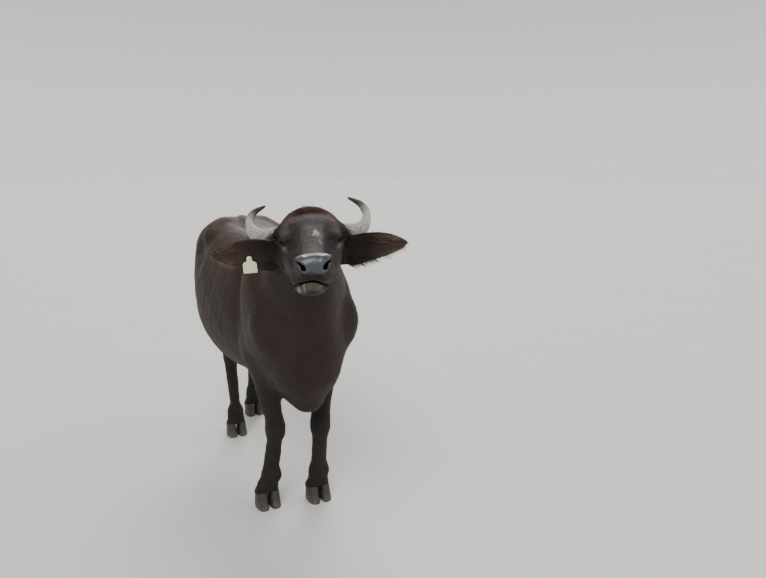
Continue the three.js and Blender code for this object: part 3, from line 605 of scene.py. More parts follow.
def combined(body, tools):
    """The body with each mesh of tools joined to it or cut from it."""
    base = new_object("work_body", *body)
    extra = []
    for kind, mesh in tools:
        tool = new_object("work_tool", *mesh)
        step = base.modifiers.new(kind, "BOOLEAN")
        step.object, step.operation, step.solver = tool, kind, "MANIFOLD"
        extra.append(tool)
    result = evaluated(base).to_mesh()
    bm = bmesh.new()
    bm.from_mesh(result)
    bmesh.ops.triangulate(bm, faces=bm.faces)
    bmesh.ops.remove_doubles(bm, verts=bm.verts, dist=MERGE_WITHIN)
    clean = bpy.data.meshes.new("work_result")
    bm.to_mesh(clean)
    bm.free()
    out = read_mesh(clean)
    for obj in [base, *extra]:
        bpy.data.objects.remove(obj)
    return out


# The skin lies under the coat: deep on the body, thin on the head and legs, bare on the muzzle
COAT = dict(body=4.5, short=2, bare=0.4)
# From and to in millimetres: how far from the face's middle, and how high over the floor
COAT_FADE = dict(face=(330, 170), low=(620, 420), hoof=(88, 130))
FACE_MIDDLE = [0, -60, -10]
MUZZLE = dict(back=-228, fade=46, half=110, low=-160)


def muzzle_share(h):
    """From 0 to 1 over the bare front of the muzzle, for points of the head's frame."""
    front = smoothstep(h[:, 1], MUZZLE["back"], MUZZLE["back"] - MUZZLE["fade"])
    return front * (np.abs(h[:, 0]) < MUZZLE["half"]) * (h[:, 2] > MUZZLE["low"])


def coat_depth(p):
    h = to_head(p)
    face = smoothstep(from_oval(h, FACE_MIDDLE), *COAT_FADE["face"])
    low = smoothstep(p[:, 2], *COAT_FADE["low"])
    depth = COAT["body"] + (COAT["short"] - COAT["body"]) * np.maximum(face, low)
    depth *= smoothstep(p[:, 2], *COAT_FADE["hoof"])
    return depth + (COAT["bare"] - depth) * muzzle_share(h)


def under_coat(form):
    return lambda p: form(p) + coat_depth(p)


# A nostril's opening, seen from the front, is a comma: discs from its round low end to its point.
# Its depths are rows of y and how large the opening is there
NOSTRIL = dict(spine=[(35, -5), (39, 3), (46, 10), (55, 14)], round=8.8, point=1.9, discs=14)
NOSTRIL_DEPTHS = [(-336, 1.3), (-308, 1.1), (-298, 1.0), (-286, 0.94), (-274, 0.8), (-264, 0.45)]
nostril_spine = smooth_curve(NOSTRIL["spine"])
NOSTRIL_DISCS = [(nostril_spine(t), NOSTRIL["round"] + (NOSTRIL["point"] - NOSTRIL["round"]) * t ** 0.8)
                 for t in np.linspace(0, 1, NOSTRIL["discs"])]

# The skin's longest edges, on the body, below a height on the legs, over ovals of the head and round spots
BODY_EDGE, LEG_EDGE, LEGS_BELOW = 19.0, 10.5, 470
HEAD_EDGES = [dict(oval=1.25, ahead_of=1e9, edge=7.8), dict(oval=1.2, ahead_of=40, edge=5.3),
              dict(oval=1.3, ahead_of=-205, edge=4.0)]
EDGE_OVAL = ([0, -90, -20], [150, 250, 150])
FINE_SPOTS = [(EYE_AT, 38, 2.4), (np.array([44.0, -290, 6]), 28, 2.4)]


def from_nostril(aside):
    """How far points lie outside the nostril's comma, seen from the front."""
    flat = aside[:, [0, 2]]
    return np.min([np.linalg.norm(flat - centre, axis=1) - r for centre, r in NOSTRIL_DISCS], axis=0)


def edge_length(p):
    """The longest edge that the skin may have at each point."""
    h = to_head(p)
    length = np.where(p[:, 2] < LEGS_BELOW, LEG_EDGE, BODY_EDGE)
    head = from_oval(h, *EDGE_OVAL)
    for part in HEAD_EDGES:
        length = np.where((head < part["oval"]) & (h[:, 1] < part["ahead_of"]), part["edge"], length)
    for centre, reach, fine in FINE_SPOTS:
        length = np.where(from_oval(folded(h), centre) < reach, fine, length)
    return length


MIRROR = {"left": np.array([1, 1, 1]), "right": np.array([-1, 1, 1])}
EYE_SIDE = unit(np.cross([0, 0, 1], EYE_WAY))
EYE_UP = np.cross(EYE_WAY, EYE_SIDE)
SLIT_LONG = 18.5
SLIT_HIGH = 8
LIDS = [dict(way=1, thick=5.2, size=1.16), dict(way=-1, thick=3.6, size=1.12)]
LID_SWEEP = 1.16


def almond(turn, size, depth):
    """A point on the rim of the eye's slit, in the head's frame."""
    long = SLIT_LONG * size * math.cos(turn)
    high = SLIT_HIGH * size * math.sin(turn) * (1 - 0.25 * math.cos(turn) ** 2)
    return EYE_AT + long * EYE_SIDE + high * EYE_UP + depth * EYE_WAY


def sphere(centre, radii, around=24, down=16):
    levels = np.linspace(0, np.pi, down + 1)[1:-1]
    turn = np.linspace(0, 2 * np.pi, around, endpoint=False)
    ring = np.stack([np.cos(turn), np.sin(turn), 0 * turn], 1)
    points, faces = ring_mesh([ring * math.sin(a) + [0, 0, math.cos(a)] for a in levels])
    points[-2:] = [[0, 0, 1], [0, 0, -1]]
    return points * radii + centre, faces


def placed(mesh, side="left"):
    """A mesh of the head's frame in the animal's frame, mirrored for the right side."""
    points, faces = mesh
    if side == "right":
        faces = faces[:, ::-1]
    return from_head(points * MIRROR[side]), faces


# The line of the mouth arches down from its middle at z, and bends back to its corners round root
MOUTH = dict(corner=71, side=-14, root=-215, long=82, z=-51, arch=66, ends=0.94)
GAPE = dict(middle=9, corners=7, inner=0.6, outer=1.5, bend=1.08)


def mouth_line(x):
    return MOUTH["z"] - MOUTH["arch"] * np.minimum(np.abs(x) / MOUTH["corner"], MOUTH["ends"]) ** 2


def from_mouth(h):
    """How far points of the head lie above the line of the mouth."""
    return h[:, 2] - mouth_line(h[:, 0] - MOUTH["side"])


def mouth_gap():
    """The gap between the lips, wider at the corners and inside, as a curved slab."""
    rings = []
    inset = np.linspace(GAPE["inner"], GAPE["outer"], 10)
    for t in np.linspace(0, 1, 61):
        turn = (t - 0.5) * GAPE["bend"] * np.pi
        x = MOUTH["corner"] * inset * np.sin(turn)
        y = MOUTH["root"] - MOUTH["long"] * inset * np.cos(turn)
        narrower = 1.3 - 0.6 * (inset - GAPE["inner"]) / 0.9
        gape = (GAPE["middle"] + GAPE["corners"] * np.sin(turn) ** 4) * narrower
        top, low = (np.stack([x + MOUTH["side"], y, mouth_line(x) + s * gape / 2], 1) for s in (1, -1))
        rings.append(np.vstack([top, low[::-1]]))
    return ring_mesh(rings)


def nostril():
    """The pit of a nostril, which narrows inward."""
    turn = np.linspace(0, 2 * np.pi, 56, endpoint=False)
    way = np.stack([np.cos(turn), np.sin(turn)], 1)
    middle = nostril_spine(0.25)
    reach = np.zeros(len(turn))
    for centre, r in NOSTRIL_DISCS:
        along = way @ (centre - middle)
        inside = r * r - ((centre - middle) @ (centre - middle) - along ** 2)
        reach = np.maximum(reach, np.where(inside > 0, along + np.sqrt(np.maximum(inside, 0)), 0))
    rings = []
    for y, size in NOSTRIL_DEPTHS:
        outline = middle + size * reach[:, None] * way
        rings.append(np.stack([outline[:, 0], 0 * turn + y, outline[:, 1]], 1))
    return ring_mesh(rings)


def eye_slit():
    """The slanting cut between the lids, wider outward."""
    around = np.linspace(0, 2 * np.pi, 48, endpoint=False)
    sizes = ((0.9, EYE_RADIUS - 9), (0.95, EYE_RADIUS), (1.25, EYE_RADIUS + 24))
    return ring_mesh([[almond(t, size, depth) for t in around] for size, depth in sizes])


def lids():
    """A soft bar over the upper edge of the slit and one under the lower."""
    made = []
    for lid in LIDS:
        turns = [lid["way"] * (i / 6 * LID_SWEEP - (LID_SWEEP - 1) / 2) * np.pi for i in range(7)]
        keys = [almond(turn, lid["size"], EYE_RADIUS - 1.5) for turn in turns]

        def size_at(t, thick=lid["thick"]):
            full = thick * (0.35 + 0.65 * math.sin(np.pi * t))
            return full, full * 0.8, EYE_WAY
        made.append(bar(smooth_curve(keys), 30, 14, size_at))
    return made


EAR_ROOT = np.array([92.0, 84, -76])
EAR_TIP = np.array([374.0, 118, -58])
EAR_THICK = dict(middle=9, edge=4.5, coat=1.2, least=0.9)
EAR_CUP = dict(root=44, tip=7, droop=6, bow=8)
ear_width = curve_through([[0, 48], [0.14, 58], [0.36, 60], [0.6, 52], [0.8, 37], [0.93, 20], [1, 4]])


def ear_at(t, v):
    """A point in the middle of the ear's leaf, its thickness there and the way its cup faces."""
    half = ear_width(np.array([t]))[0, 0]
    cup = EAR_CUP["root"] + (EAR_CUP["tip"] - EAR_CUP["root"]) * min(t * 1.6, 1) ** 0.7
    point = EAR_ROOT + (EAR_TIP - EAR_ROOT) * t
    bow = math.sin(math.pi * t)
    point = point + [0, cup * (0.5 - v * v) + EAR_CUP["droop"] * bow, half * v + EAR_CUP["bow"] * bow]
    thick = EAR_THICK["middle"] + (EAR_THICK["edge"] - EAR_THICK["middle"]) * abs(v)
    return point, thick * (1 - 0.3 * t), unit([0, -1, -2 * cup * v / half])


def ear():
    """The leaf of the ear, veined on its inner face."""
    rings = []
    across = np.linspace(-0.985, 0.985, 23)
    for t in np.linspace(0, 0.995, 64):
        ring = []
        for face in (1, -1):
            for v in across * face:
                point, thick, out = ear_at(t, v)
                vein = 0.5 * math.sin(v * 11 + 2 * math.sin(t * 5)) * (1 - abs(v)) * (face > 0)
                half = max(thick / 2 - EAR_THICK["coat"], EAR_THICK["least"]) + vein
                ring.append(point + out * face * half)
        rings.append(ring)
    return ring_mesh(rings)


TAIL_KEYS = [(0, 1150, 1222), (0, 1225, 1200), (-4, 1284, 1130), (-10, 1304, 1010), (-14, 1306, 840),
             (-16, 1310, 680), (-16, 1316, 545)]
TAIL_ROUND = dict(root=30, end=11)
tail_curve = smooth_curve(TAIL_KEYS)


def tail():
    def size_at(t):
        thinner = (TAIL_ROUND["end"] - TAIL_ROUND["root"]) * min(t * 1.5, 1) ** 0.8
        r = TAIL_ROUND["root"] + thinner - COAT["short"]
        return r, r * 0.9, np.array([1.0, 0, 0])
    return bar(tail_curve, 90, 18, size_at)


# Carving: shallow folds, hollows and ridges that the smooth forms leave out.
# Each row is a line from a to b, how wide it is and how far it raises the skin
BODY_CARVING = [
    ((262, 790, 1120), (238, 880, 1150), 66, -15),
    ((168, 838, 1226), (150, 880, 1240), 40, 7),
    ((0, 120, 1330), (0, 1010, 1312), 24, 6),
    ((62, 260, 1290), (60, 820, 1286), 34, -5),
    ((124, 130, 1235), (192, -40, 1000), 22, 6),
    ((196, 165, 1150), (222, 190, 940), 42, -8),
    ((112, -30, 1180), (160, -150, 960), 34, -7),
    ((206, 128, 812), (200, 112, 790), 30, 6),
    ((216, 1075, 1120), (168, 1115, 770), 22, -7),
    ((236, 880, 1000), (214, 905, 830), 44, 5),
    ((196, 745, 640), (214, 850, 770), 22, 9),
    ((180, 730, 690), (196, 820, 800), 24, -5),
    ((96, 1080, 690), (60, 900, 640), 30, -5),
    ((150, 20, 560), (132, 34, 440), 16, 4),
    ((140, -66, 770), (150, -60, 620), 18, -5),
]
HEAD_CARVING = [
    ((0, -302, 14), (0, -308, -52), 3.6, -2.2),
    ((22, -300, -40), (50, -268, -50), 13, 3.2),
    ((54, -282, -26), (76, -222, -38), 7, -3.2),
    ((26, -304, -6), (50, -290, -8), 5.5, 2.6),
    ((62, -276, 6), (58, -262, 22), 7, 3.6),
    ((22, -304, 10), (30, -292, 26), 7, 1.8),
    ((86, -8, -34), (62, -136, -36), 12, 5),
    ((66, -44, 16), (48, -96, 14), 14, -5.5),
    ((36, -60, 52), (31, -236, 24), 9, 3),
    ((0, -50, 68), (0, -250, 38), 10, -1.6),
    ((106, 58, 20), (100, 40, 6), 22, -5),
    ((74, -44, -96), (70, -8, -44), 13, -4),
    ((62, -150, -58), (56, -214, -62), 9, -3),
    ((58, -120, -64), (70, -60, -78), 9, -2.5),
    ((52, -50, 66), (76, -18, 56), 6, -2),
]
CHIN_CARVING = [
    ((0, -268, -84), (0, -244, -116), 5, -1.8),
    ((-30, -262, -80), (30, -262, -80), 8, 2.6),
    ((-40, -250, -100), (40, -250, -100), 6, -1.6),
]
BODY_DEPTH = 1.7
EYE_FOLDS = dict(first=25, apart=8.5, reach=13, high=1.5)
# The folds run across the neck, which is followed upward from a place low in it
NECK_FOLDS = dict(apart=58, high=3.2, start=[0, 20, 1010], toward=[0, 128, -50])
RIBS = dict(apart=64, high=0.7, slant=0.3, level=900)
NOSTRIL_RIM = dict(high=2.2, out=5, wide=4)
ROUGHNESS = [(1.5, 150, 1), (0.7, 60, 2)]
FACE_ROUGHNESS = [(0.5, 40, 4), (0.25, 16, 9)]
NOSE_BACK = -255
HEAD_OVAL = ([0, -80, -20], [150, 260, 170])


def from_line(p, a, b):
    """How far points lie from the line from a to b."""
    a, b = np.array(a, float), np.array(b, float)
    way = b - a
    t = np.clip((p - a) @ way / max(way @ way, 1e-9), 0, 1)
    return np.linalg.norm(p - a - t[:, None] * way, axis=1)


def carved(p, rows):
    return sum(high * np.exp(-(from_line(p, a, b) / wide) ** 2) for a, b, wide, high in rows)


WAVES, WAVES_STRONG = 8, 3.4


def waves(p, size, seed):
    """Smooth noise from about -1 to 1, with features about size across."""
    draw = np.random.default_rng(seed)
    total = np.zeros(len(p))
    for _ in range(WAVES):
        way = unit(draw.normal(size=3)) * draw.uniform(0.5, 1.5) * 2 * np.pi / size
        total += np.sin(p @ way + draw.uniform(0, 2 * np.pi))
    return total / WAVES_STRONG


def drift(p, size, seeds):
    """Smooth noise of its own for each axis."""
    return np.stack([waves(p, size, seed) for seed in seeds], 1)


def rib_relief(p):
    """Faint slanting ribs over the barrel."""
    barrel = smoothstep(np.abs(p[:, 0]), 130, 220)
    for axis, low, high in ((1, 200, 320), (1, 800, 680), (2, 680, 800), (2, 1230, 1100)):
        barrel *= smoothstep(p[:, axis], low, high)
    slanted = p[:, 1] + (p[:, 2] - RIBS["level"]) * RIBS["slant"] + 8 * waves(p, 300, 3)
    ribs = np.sin(2 * np.pi * slanted / RIBS["apart"])
    return RIBS["high"] * barrel * ribs * (0.8 + 0.45 * waves(p, 420, 11))


def neck_relief(p, h):
    """Wavering folds across the sides of the neck."""
    way = unit(from_head(NECK_FOLDS["toward"]) - np.array(NECK_FOLDS["start"]))
    up_neck = (p - NECK_FOLDS["start"]) @ way
    share = smoothstep(up_neck, 40, 150) * smoothstep(h[:, 1], 105, 150)
    share *= smoothstep(np.abs(p[:, 0] + 40), 30, 110)
    folds = np.sin(2 * np.pi * (up_neck + 16 * waves(p, 240, 5) - 0.25 * p[:, 2]) / NECK_FOLDS["apart"])
    return NECK_FOLDS["high"] * share * (1 - np.abs(folds)) * (0.6 + 0.5 * waves(p, 180, 6))


def eye_relief(h, side):
    """Creases round the lids of one eye, fainter outward."""
    q = (h - EYE_AT * [side, 1, 1]) * [side, 1, 1]
    r = np.hypot(q @ EYE_SIDE * 0.86, q @ EYE_UP * 1.25)
    past = np.maximum(r - EYE_FOLDS["first"], 0)
    fade = np.exp(-(past / EYE_FOLDS["reach"]) ** 2) * (r > EYE_FOLDS["first"] - 4) * (q @ EYE_WAY > -20)
    creases = np.cos(2 * np.pi * past / EYE_FOLDS["apart"] + 0.5 * waves(h, 40, 8))
    return EYE_FOLDS["high"] * fade * creases


def relief(p):
    """How far the skin is raised over the smooth forms."""
    h = to_head(p)
    head_share = smoothstep(from_oval(h, *HEAD_OVAL), 1.25, 0.95)
    raised = (1 - head_share) * BODY_DEPTH * carved(folded(p), BODY_CARVING)
    raised += head_share * (carved(folded(h), HEAD_CARVING) + carved(h + [CHEW, 0, 0], CHIN_CARVING))
    raised += rib_relief(p)
    raised += neck_relief(p, h)
    at_nose = head_share * (h[:, 1] < NOSE_BACK) * (h[:, 2] > -40)
    rim = (from_nostril(folded(h)) - NOSTRIL_RIM["out"]) / NOSTRIL_RIM["wide"]
    raised += NOSTRIL_RIM["high"] * at_nose * np.exp(-rim ** 2)
    for side in (1, -1):
        raised += eye_relief(h, side) * (head_share > 0)
    rough, fine = (sum(high * waves(p, size, seed) for high, size, seed in rows)
                   for rows in (ROUGHNESS, FACE_ROUGHNESS))
    bare = muzzle_share(h) * head_share
    return raised + (1 - head_share) * rough + head_share * (1 - 0.6 * bare) * fine


EAR_ROOT_BAND = dict(inner=92, outer=142, around=[88, -76], reach=78)
RUMP_SPOT = ([0, 1225, 1185], 75)


def soft_places(p):
    """Where the skin is evened out after joining and cutting, from 0 to 1: small places and broad ones."""
    h = to_head(p)
    aside = folded(h)
    lips = (np.abs(from_mouth(h)) < 12) & (h[:, 1] < -150) & (aside[:, 0] < 100) & (h[:, 1] > -330)
    nose = (from_nostril(aside) < 9) & (h[:, 1] < NOSE_BACK)
    eyes = from_oval(aside, EYE_AT) < 33
    soft = 0.5 * lips + 0.45 * nose + 0.35 * eyes
    root = (aside[:, 0] > EAR_ROOT_BAND["inner"]) & (aside[:, 0] < EAR_ROOT_BAND["outer"])
    root &= np.linalg.norm(aside[:, 1:] - EAR_ROOT_BAND["around"], axis=1) < EAR_ROOT_BAND["reach"]
    rump = from_oval(p, RUMP_SPOT[0]) < RUMP_SPOT[1]
    return np.minimum(soft, 0.5), np.where(root | rump, 0.6, 0)


def smoothed(points, faces, share, rounds):
    for _ in range(rounds):
        points = points + share[:, None] * (even(points, faces) - points)
    return points


SKIN_STEP = 13
SKIN_LOW, SKIN_HIGH = [-380, -800, 20], [380, 1290, 1450]


def make_skin():
    """One closed skin over trunk, neck, head, legs, ears, lids and tail, with mouth and nostrils cut in."""
    skin_form = under_coat(whole_form)
    points, faces = surface_net(skin_form, SKIN_LOW, SKIN_HIGH, SKIN_STEP)
    points = laid_on(skin_form, points, faces, 3)
    points, faces = refined(points, faces, edge_length)
    points = laid_on(skin_form, points, faces, 4)
    add, cut = [], []
    for side in ("left", "right"):
        add += [placed(m, side) for m in lids()]
        add.append(placed(ear(), side))
        cut.append(placed(nostril(), side))
        cut += [placed(eye_slit(), side), placed(sphere(EYE_AT, EYE_RADIUS + 0.4, 48, 32), side)]
    add.append(tail())
    cut.append(placed(mouth_gap()))
    tools = [("UNION", m) for m in add] + [("DIFFERENCE", m) for m in cut]
    points, faces = combined((points, faces), tools)
    points, faces = refined(points, faces, lambda p: 1.5 * edge_length(p))
    small, broad = soft_places(points)
    points = smoothed(points, faces, broad, 14)
    points = smoothed(points, faces, small, 5)
    points = points + relief(points)[:, None] * normals_of(points, faces)
    return points, faces


# The ear tag, in the head's frame: two plates and a stud through the right ear
TAG = dict(wide=52, high=57, neck=10, shoulder=24, thick=2.4, hole=3.4, x=-236, z=-74, front=94, back=118)


# Colours are worked out once for every point of the skin, and the coat takes them from it
def paint(code):
    """A screen colour of three hexadecimal pairs, as the finishes take it."""
    value = np.array([int(code[i:i + 2], 16) for i in (0, 2, 4)]) / 255
    return np.where(value <= 0.04045, value / 12.92, ((value + 0.055) / 1.055) ** 2.4)


COLOURS = {name: paint(code) for name, code in dict(
    body="2a1f19", legs="1c1613", slate="282526", brown="412e24", rust="5c3f2e", pale="9b9184",
    pad="2e323a", lip="131213", chin="5a534c", streak="a39b8d", concha="261d19", mouth="110c0d",
    brow="4b443f", fringe="7c6a59",
).items()}
# Centres and radii of coloured places: the neck's side in the animal's frame, the others in the head's
NECK_SPOT = ((60, -170, 1080), (60, 160, 240))
BRIDGE_HAIR_AND_LIGHT_SPOT = ((12, -170, 56), (26, 90, 26))
CROWN_SPOT = ((0, 104, 98), (86, 62, 46))
PATCH_SPOT, PATCH_TAIL = ((18, -112, 64), (15, 34, 16)), ((30, -180, 44), (9, 34, 16))
# The brow spot is a painted highlight on the brow ridge over each eye.
BROW_HIGHLIGHT_SPOT, CHEEK_SPOT = ((100, -8, 36), (16, 30, 12)), ((98, -28, -13), (12, 18, 7))
EAR_BOX = dict(inner=124, front=20, back=160, low=-165, high=20)
LIP_BAND = dict(above=8, edge=34, full=24)
CHIN = dict(side=-20, edge=52, full=36)
# Pale runs down the lower lip: how far aside and how wide
LIP_RUNS = ((-55, 2.6), (-36, 2.0))
PAD = dict(half=50, narrower=22, low=(-30, -19), high=(38, 28), front=(-262, -276))
# The place behind the tag's front plate where no hair stands
TAG_SHADE = dict(half=34, middle=28, high=44, back=112)


def toward(colour, other, share):
    """Colours moved toward a named one by a share from 0 to 1."""
    return colour + np.clip(share, 0, 1)[:, None] * (COLOURS[other] - colour)


def spot(p, centre, radii):
    """A soft oval spot, 1 at its centre."""
    return np.exp(-((((p - centre) / radii) ** 2).sum(1)))


def on_ear(h):
    within = (h[:, 1] > EAR_BOX["front"]) & (h[:, 1] < EAR_BOX["back"])
    within &= (h[:, 2] > EAR_BOX["low"]) & (h[:, 2] < EAR_BOX["high"])
    return within & (np.abs(h[:, 0]) > EAR_BOX["inner"])


def skin_colour(p, normal):
    """The colour of each point: the body's first, then the head's places one over another."""
    h = to_head(p)
    aside = folded(h)
    head_share = smoothstep(from_oval(h, *HEAD_OVAL), 1.3, 0.95)
    colour = np.tile(COLOURS["body"], (len(p), 1))
    colour = toward(colour, "legs", smoothstep(p[:, 2], 760, 420))
    # Hair that faces upward high on the body is painted browner as painted top light; the waves add a random
    # brown tone.
    high = smoothstep(normal[:, 2], 0.1, 0.9) * smoothstep(p[:, 2], 900, 1200)
    colour = toward(colour, "brown", 0.55 * high + 0.12 * waves(p, 260, 21))
    colour = toward(colour, "brown", 0.3 * spot(p, *NECK_SPOT))
    colour = toward(colour, "slate", head_share * smoothstep(h[:, 1], 60, -40))
    # The top of the nose bridge is painted browner: partly its brown hair, partly painted light falling on it
    # from above.
    colour = toward(colour, "brown", 0.5 * head_share * spot(aside, *BRIDGE_HAIR_AND_LIGHT_SPOT))
    rusty = 0.75 * spot(aside, *CROWN_SPOT) + 0.15 * head_share * waves(p, 90, 22) ** 2
    colour = toward(colour, "rust", rusty)
    patch = spot(h, *PATCH_SPOT) + 0.5 * spot(h, *PATCH_TAIL)
    colour = toward(colour, "pale", 0.9 * smoothstep(patch + 0.22 * waves(p, 17, 23), 0.35, 0.75))
    # A painted highlight on the brow ridges over the eyes.
    colour = toward(colour, "brow", 0.45 * spot(aside, *BROW_HIGHLIGHT_SPOT))
    colour = toward(colour, "pale", 0.5 * spot(aside, *CHEEK_SPOT))
    ear_share = on_ear(h).astype(float)
    inside = ear_share * smoothstep(-(normal @ HEAD_TURNED)[:, 1], 0.1, 0.5)
    colour = toward(colour, "body", ear_share)
    colour = toward(colour, "concha", inside * smoothstep(aside[:, 0], 330, 170))
    colour = toward(colour, "brown", ear_share * smoothstep(aside[:, 0], 210, 340) * 0.75)

    bare = bare_share(p)
    colour = toward(colour, "pad", bare)
    above = from_mouth(h)
    near_mouth = (h[:, 1] < -150) & (aside[:, 0] < 100) & (head_share > 0.5)
    lips = smoothstep(np.abs(above - LIP_BAND["above"]), LIP_BAND["edge"], LIP_BAND["full"])
    colour = toward(colour, "lip", near_mouth * lips)
    lower = near_mouth * smoothstep(-above, 2, 9) * smoothstep(-above, 48, 26)
    lower *= smoothstep(h[:, 1], -196, -226)
    lower *= smoothstep(np.abs(h[:, 0] - CHIN["side"]), CHIN["edge"], CHIN["full"])
    colour = toward(colour, "chin", 0.8 * lower + 0.15 * lower * waves(p, 22, 24))
    for x, wide in LIP_RUNS:
        run = lower * np.exp(-((h[:, 0] - x + 2 * np.sin(h[:, 2] / 7)) / wide) ** 2)
        colour = toward(colour, "streak", 0.75 * run)
    rim = (h[:, 1] < NOSE_BACK) * (head_share > 0.5) * np.exp(-((from_nostril(aside) - 3.5) / 2.5) ** 2)
    colour = toward(colour, "brow", 0.5 * rim * smoothstep(h[:, 2], 8, -4))
    colour = toward(colour, "mouth", in_openings(h))
    uneven = 1 + 0.10 * waves(p, 120, 25) + 0.06 * waves(p, 30, 26)
    return np.clip(colour * uneven[:, None], 0.001, 1)


def in_openings(h):
    """From 0 to 1 for points inside the mouth and the nostrils."""
    ahead = np.hypot((h[:, 0] - MOUTH["side"]) / MOUTH["corner"], (h[:, 1] - MOUTH["root"]) / MOUTH["long"])
    mouth = (np.abs(from_mouth(h)) < 8) * smoothstep(ahead, 1.12, 0.98)
    mouth *= (h[:, 1] < -130) * (np.abs(h[:, 0]) < 90)
    nose = smoothstep(from_nostril(folded(h)), 1.2, -0.6) * (h[:, 1] < NOSE_BACK)
    return np.maximum(mouth, nose)


def bare_share(p):
    """From 0 to 1 over the wet pad between and above the nostrils, which narrows toward the lip."""
    h = to_head(p)
    wide = PAD["half"] - PAD["narrower"] * smoothstep(h[:, 2], 2, -30)
    pad = smoothstep(np.abs(h[:, 0]), wide + 7, wide - 5)
    for axis, (none, full) in ((2, PAD["low"]), (2, PAD["high"]), (1, PAD["front"])):
        pad *= smoothstep(h[:, axis], none, full)
    return pad


def hair_share(p):
    """From 0 to 1 where the coat grows: not on the pad, the lips' rims, the lids or in any opening."""
    h = to_head(p)
    aside = folded(h)
    rim = (np.abs(from_mouth(h)) < 10) & (h[:, 1] < -170) & (aside[:, 0] < 95)
    lid = from_oval(aside, EYE_AT) < EYE_RADIUS + 6
    nose = (from_nostril(aside) < 7) & (h[:, 1] < NOSE_BACK)
    by_tag = (np.abs(h[:, 0] - TAG["x"]) < TAG_SHADE["half"]) & (h[:, 1] < TAG_SHADE["back"])
    by_tag &= np.abs(h[:, 2] - TAG["z"] + TAG_SHADE["middle"]) < TAG_SHADE["high"]
    return (1 - bare_share(p)) * ~(rim | lid | nose | by_tag) * (1 - 0.4 * muzzle_share(h))


HAIR_LONG = dict(body=15.5, front_more=3, back_more=3, legs=10.5, head=6.6, muzzle=4.4, ears=8.5)
HAIR_OVAL = ([0, -80, -20], [150, 260, 190])
# Thousands of tufts in a square metre, at most and for each length of hair in millimetres
DENSEST = 300.0
TUFTS_AT = dict(length=[4, 6.5, 8.5, 10.5, 15, 19, 23], count=[290, 235, 140, 72, 56, 46, 34])
TAIL_FROM_Y = 1262


def hair_length(p, h):
    """The coat's length in millimetres."""
    head = smoothstep(from_oval(h, *HAIR_OVAL), 1.2, 0.9)
    length = HAIR_LONG["body"] + HAIR_LONG["front_more"] * smoothstep(p[:, 1], 250, 0)
    length += HAIR_LONG["back_more"] * smoothstep(p[:, 2], 1200, 1300)
    length += (HAIR_LONG["legs"] - length) * smoothstep(p[:, 2], 700, 480)
    length += (HAIR_LONG["head"] - length) * head
    length += (HAIR_LONG["muzzle"] - length) * head * smoothstep(h[:, 1], -120, -260)
    length[on_ear(h)] = HAIR_LONG["ears"]
    return length * (1 + 0.12 * waves(p, 110, 41))


def tuft_density(length):
    """How densely tufts stand where the hair is this long, as a share of the densest."""
    return np.interp(length, TUFTS_AT["length"], np.array(TUFTS_AT["count"]) / DENSEST)


def coat_lie(p, normal):
    """The way the hair points: back along the body, down the legs, round the face and out along the ears."""
    h = to_head(p)
    aside = np.sign(h[:, :1] + 1e-9)
    s = smoothstep(h[:, 2], 46, -96)
    over, down = np.sin(np.pi * s), np.sin(np.pi * s * 0.8)
    head_way = np.stack([0.25 * aside[:, 0] * over, -1 + 1.9 * s, -1.25 * down], 1) @ HEAD_TURNED.T
    head_share = smoothstep(h[:, 1], 140, 110) * (from_oval(h, [0, -60, -20]) < 330)
    body_way = np.stack([0 * s, 0.85 + 0 * s, -0.55 - 0.6 * smoothstep(p[:, 2], 900, 600)], 1)
    body_way[:, 1] -= 0.75 * smoothstep(p[:, 2], 720, 560)
    way = body_way + head_share[:, None] * (head_way - body_way)
    ear = on_ear(h)
    outward = unit(EAR_TIP - EAR_ROOT) * np.concatenate([aside, 0 * aside + 1, 0 * aside + 1], 1)
    way[ear] = (outward @ HEAD_TURNED.T)[ear]
    way[p[:, 1] > TAIL_FROM_Y] = (0, 0, -1)
    way = way + 0.2 * drift(p, 140, (31, 32, 33))
    way = way + 0.12 * drift(p, 36, (34, 35, 36))
    way = along_surface(way, normal)
    return way / np.maximum(np.linalg.norm(way, axis=1), 1e-6)[:, None]


# Finishes. Patterns lie in the object's own coordinates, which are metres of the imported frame
def finish(name, roughness, **sockets):
    material = bpy.data.materials.new(name)
    material.use_nodes = True
    shader = material.node_tree.nodes["Principled BSDF"]
    shader.inputs["Roughness"].default_value = roughness
    for socket, value in sockets.items():
        shader.inputs[socket.replace("_", " ")].default_value = value
    return material, shader


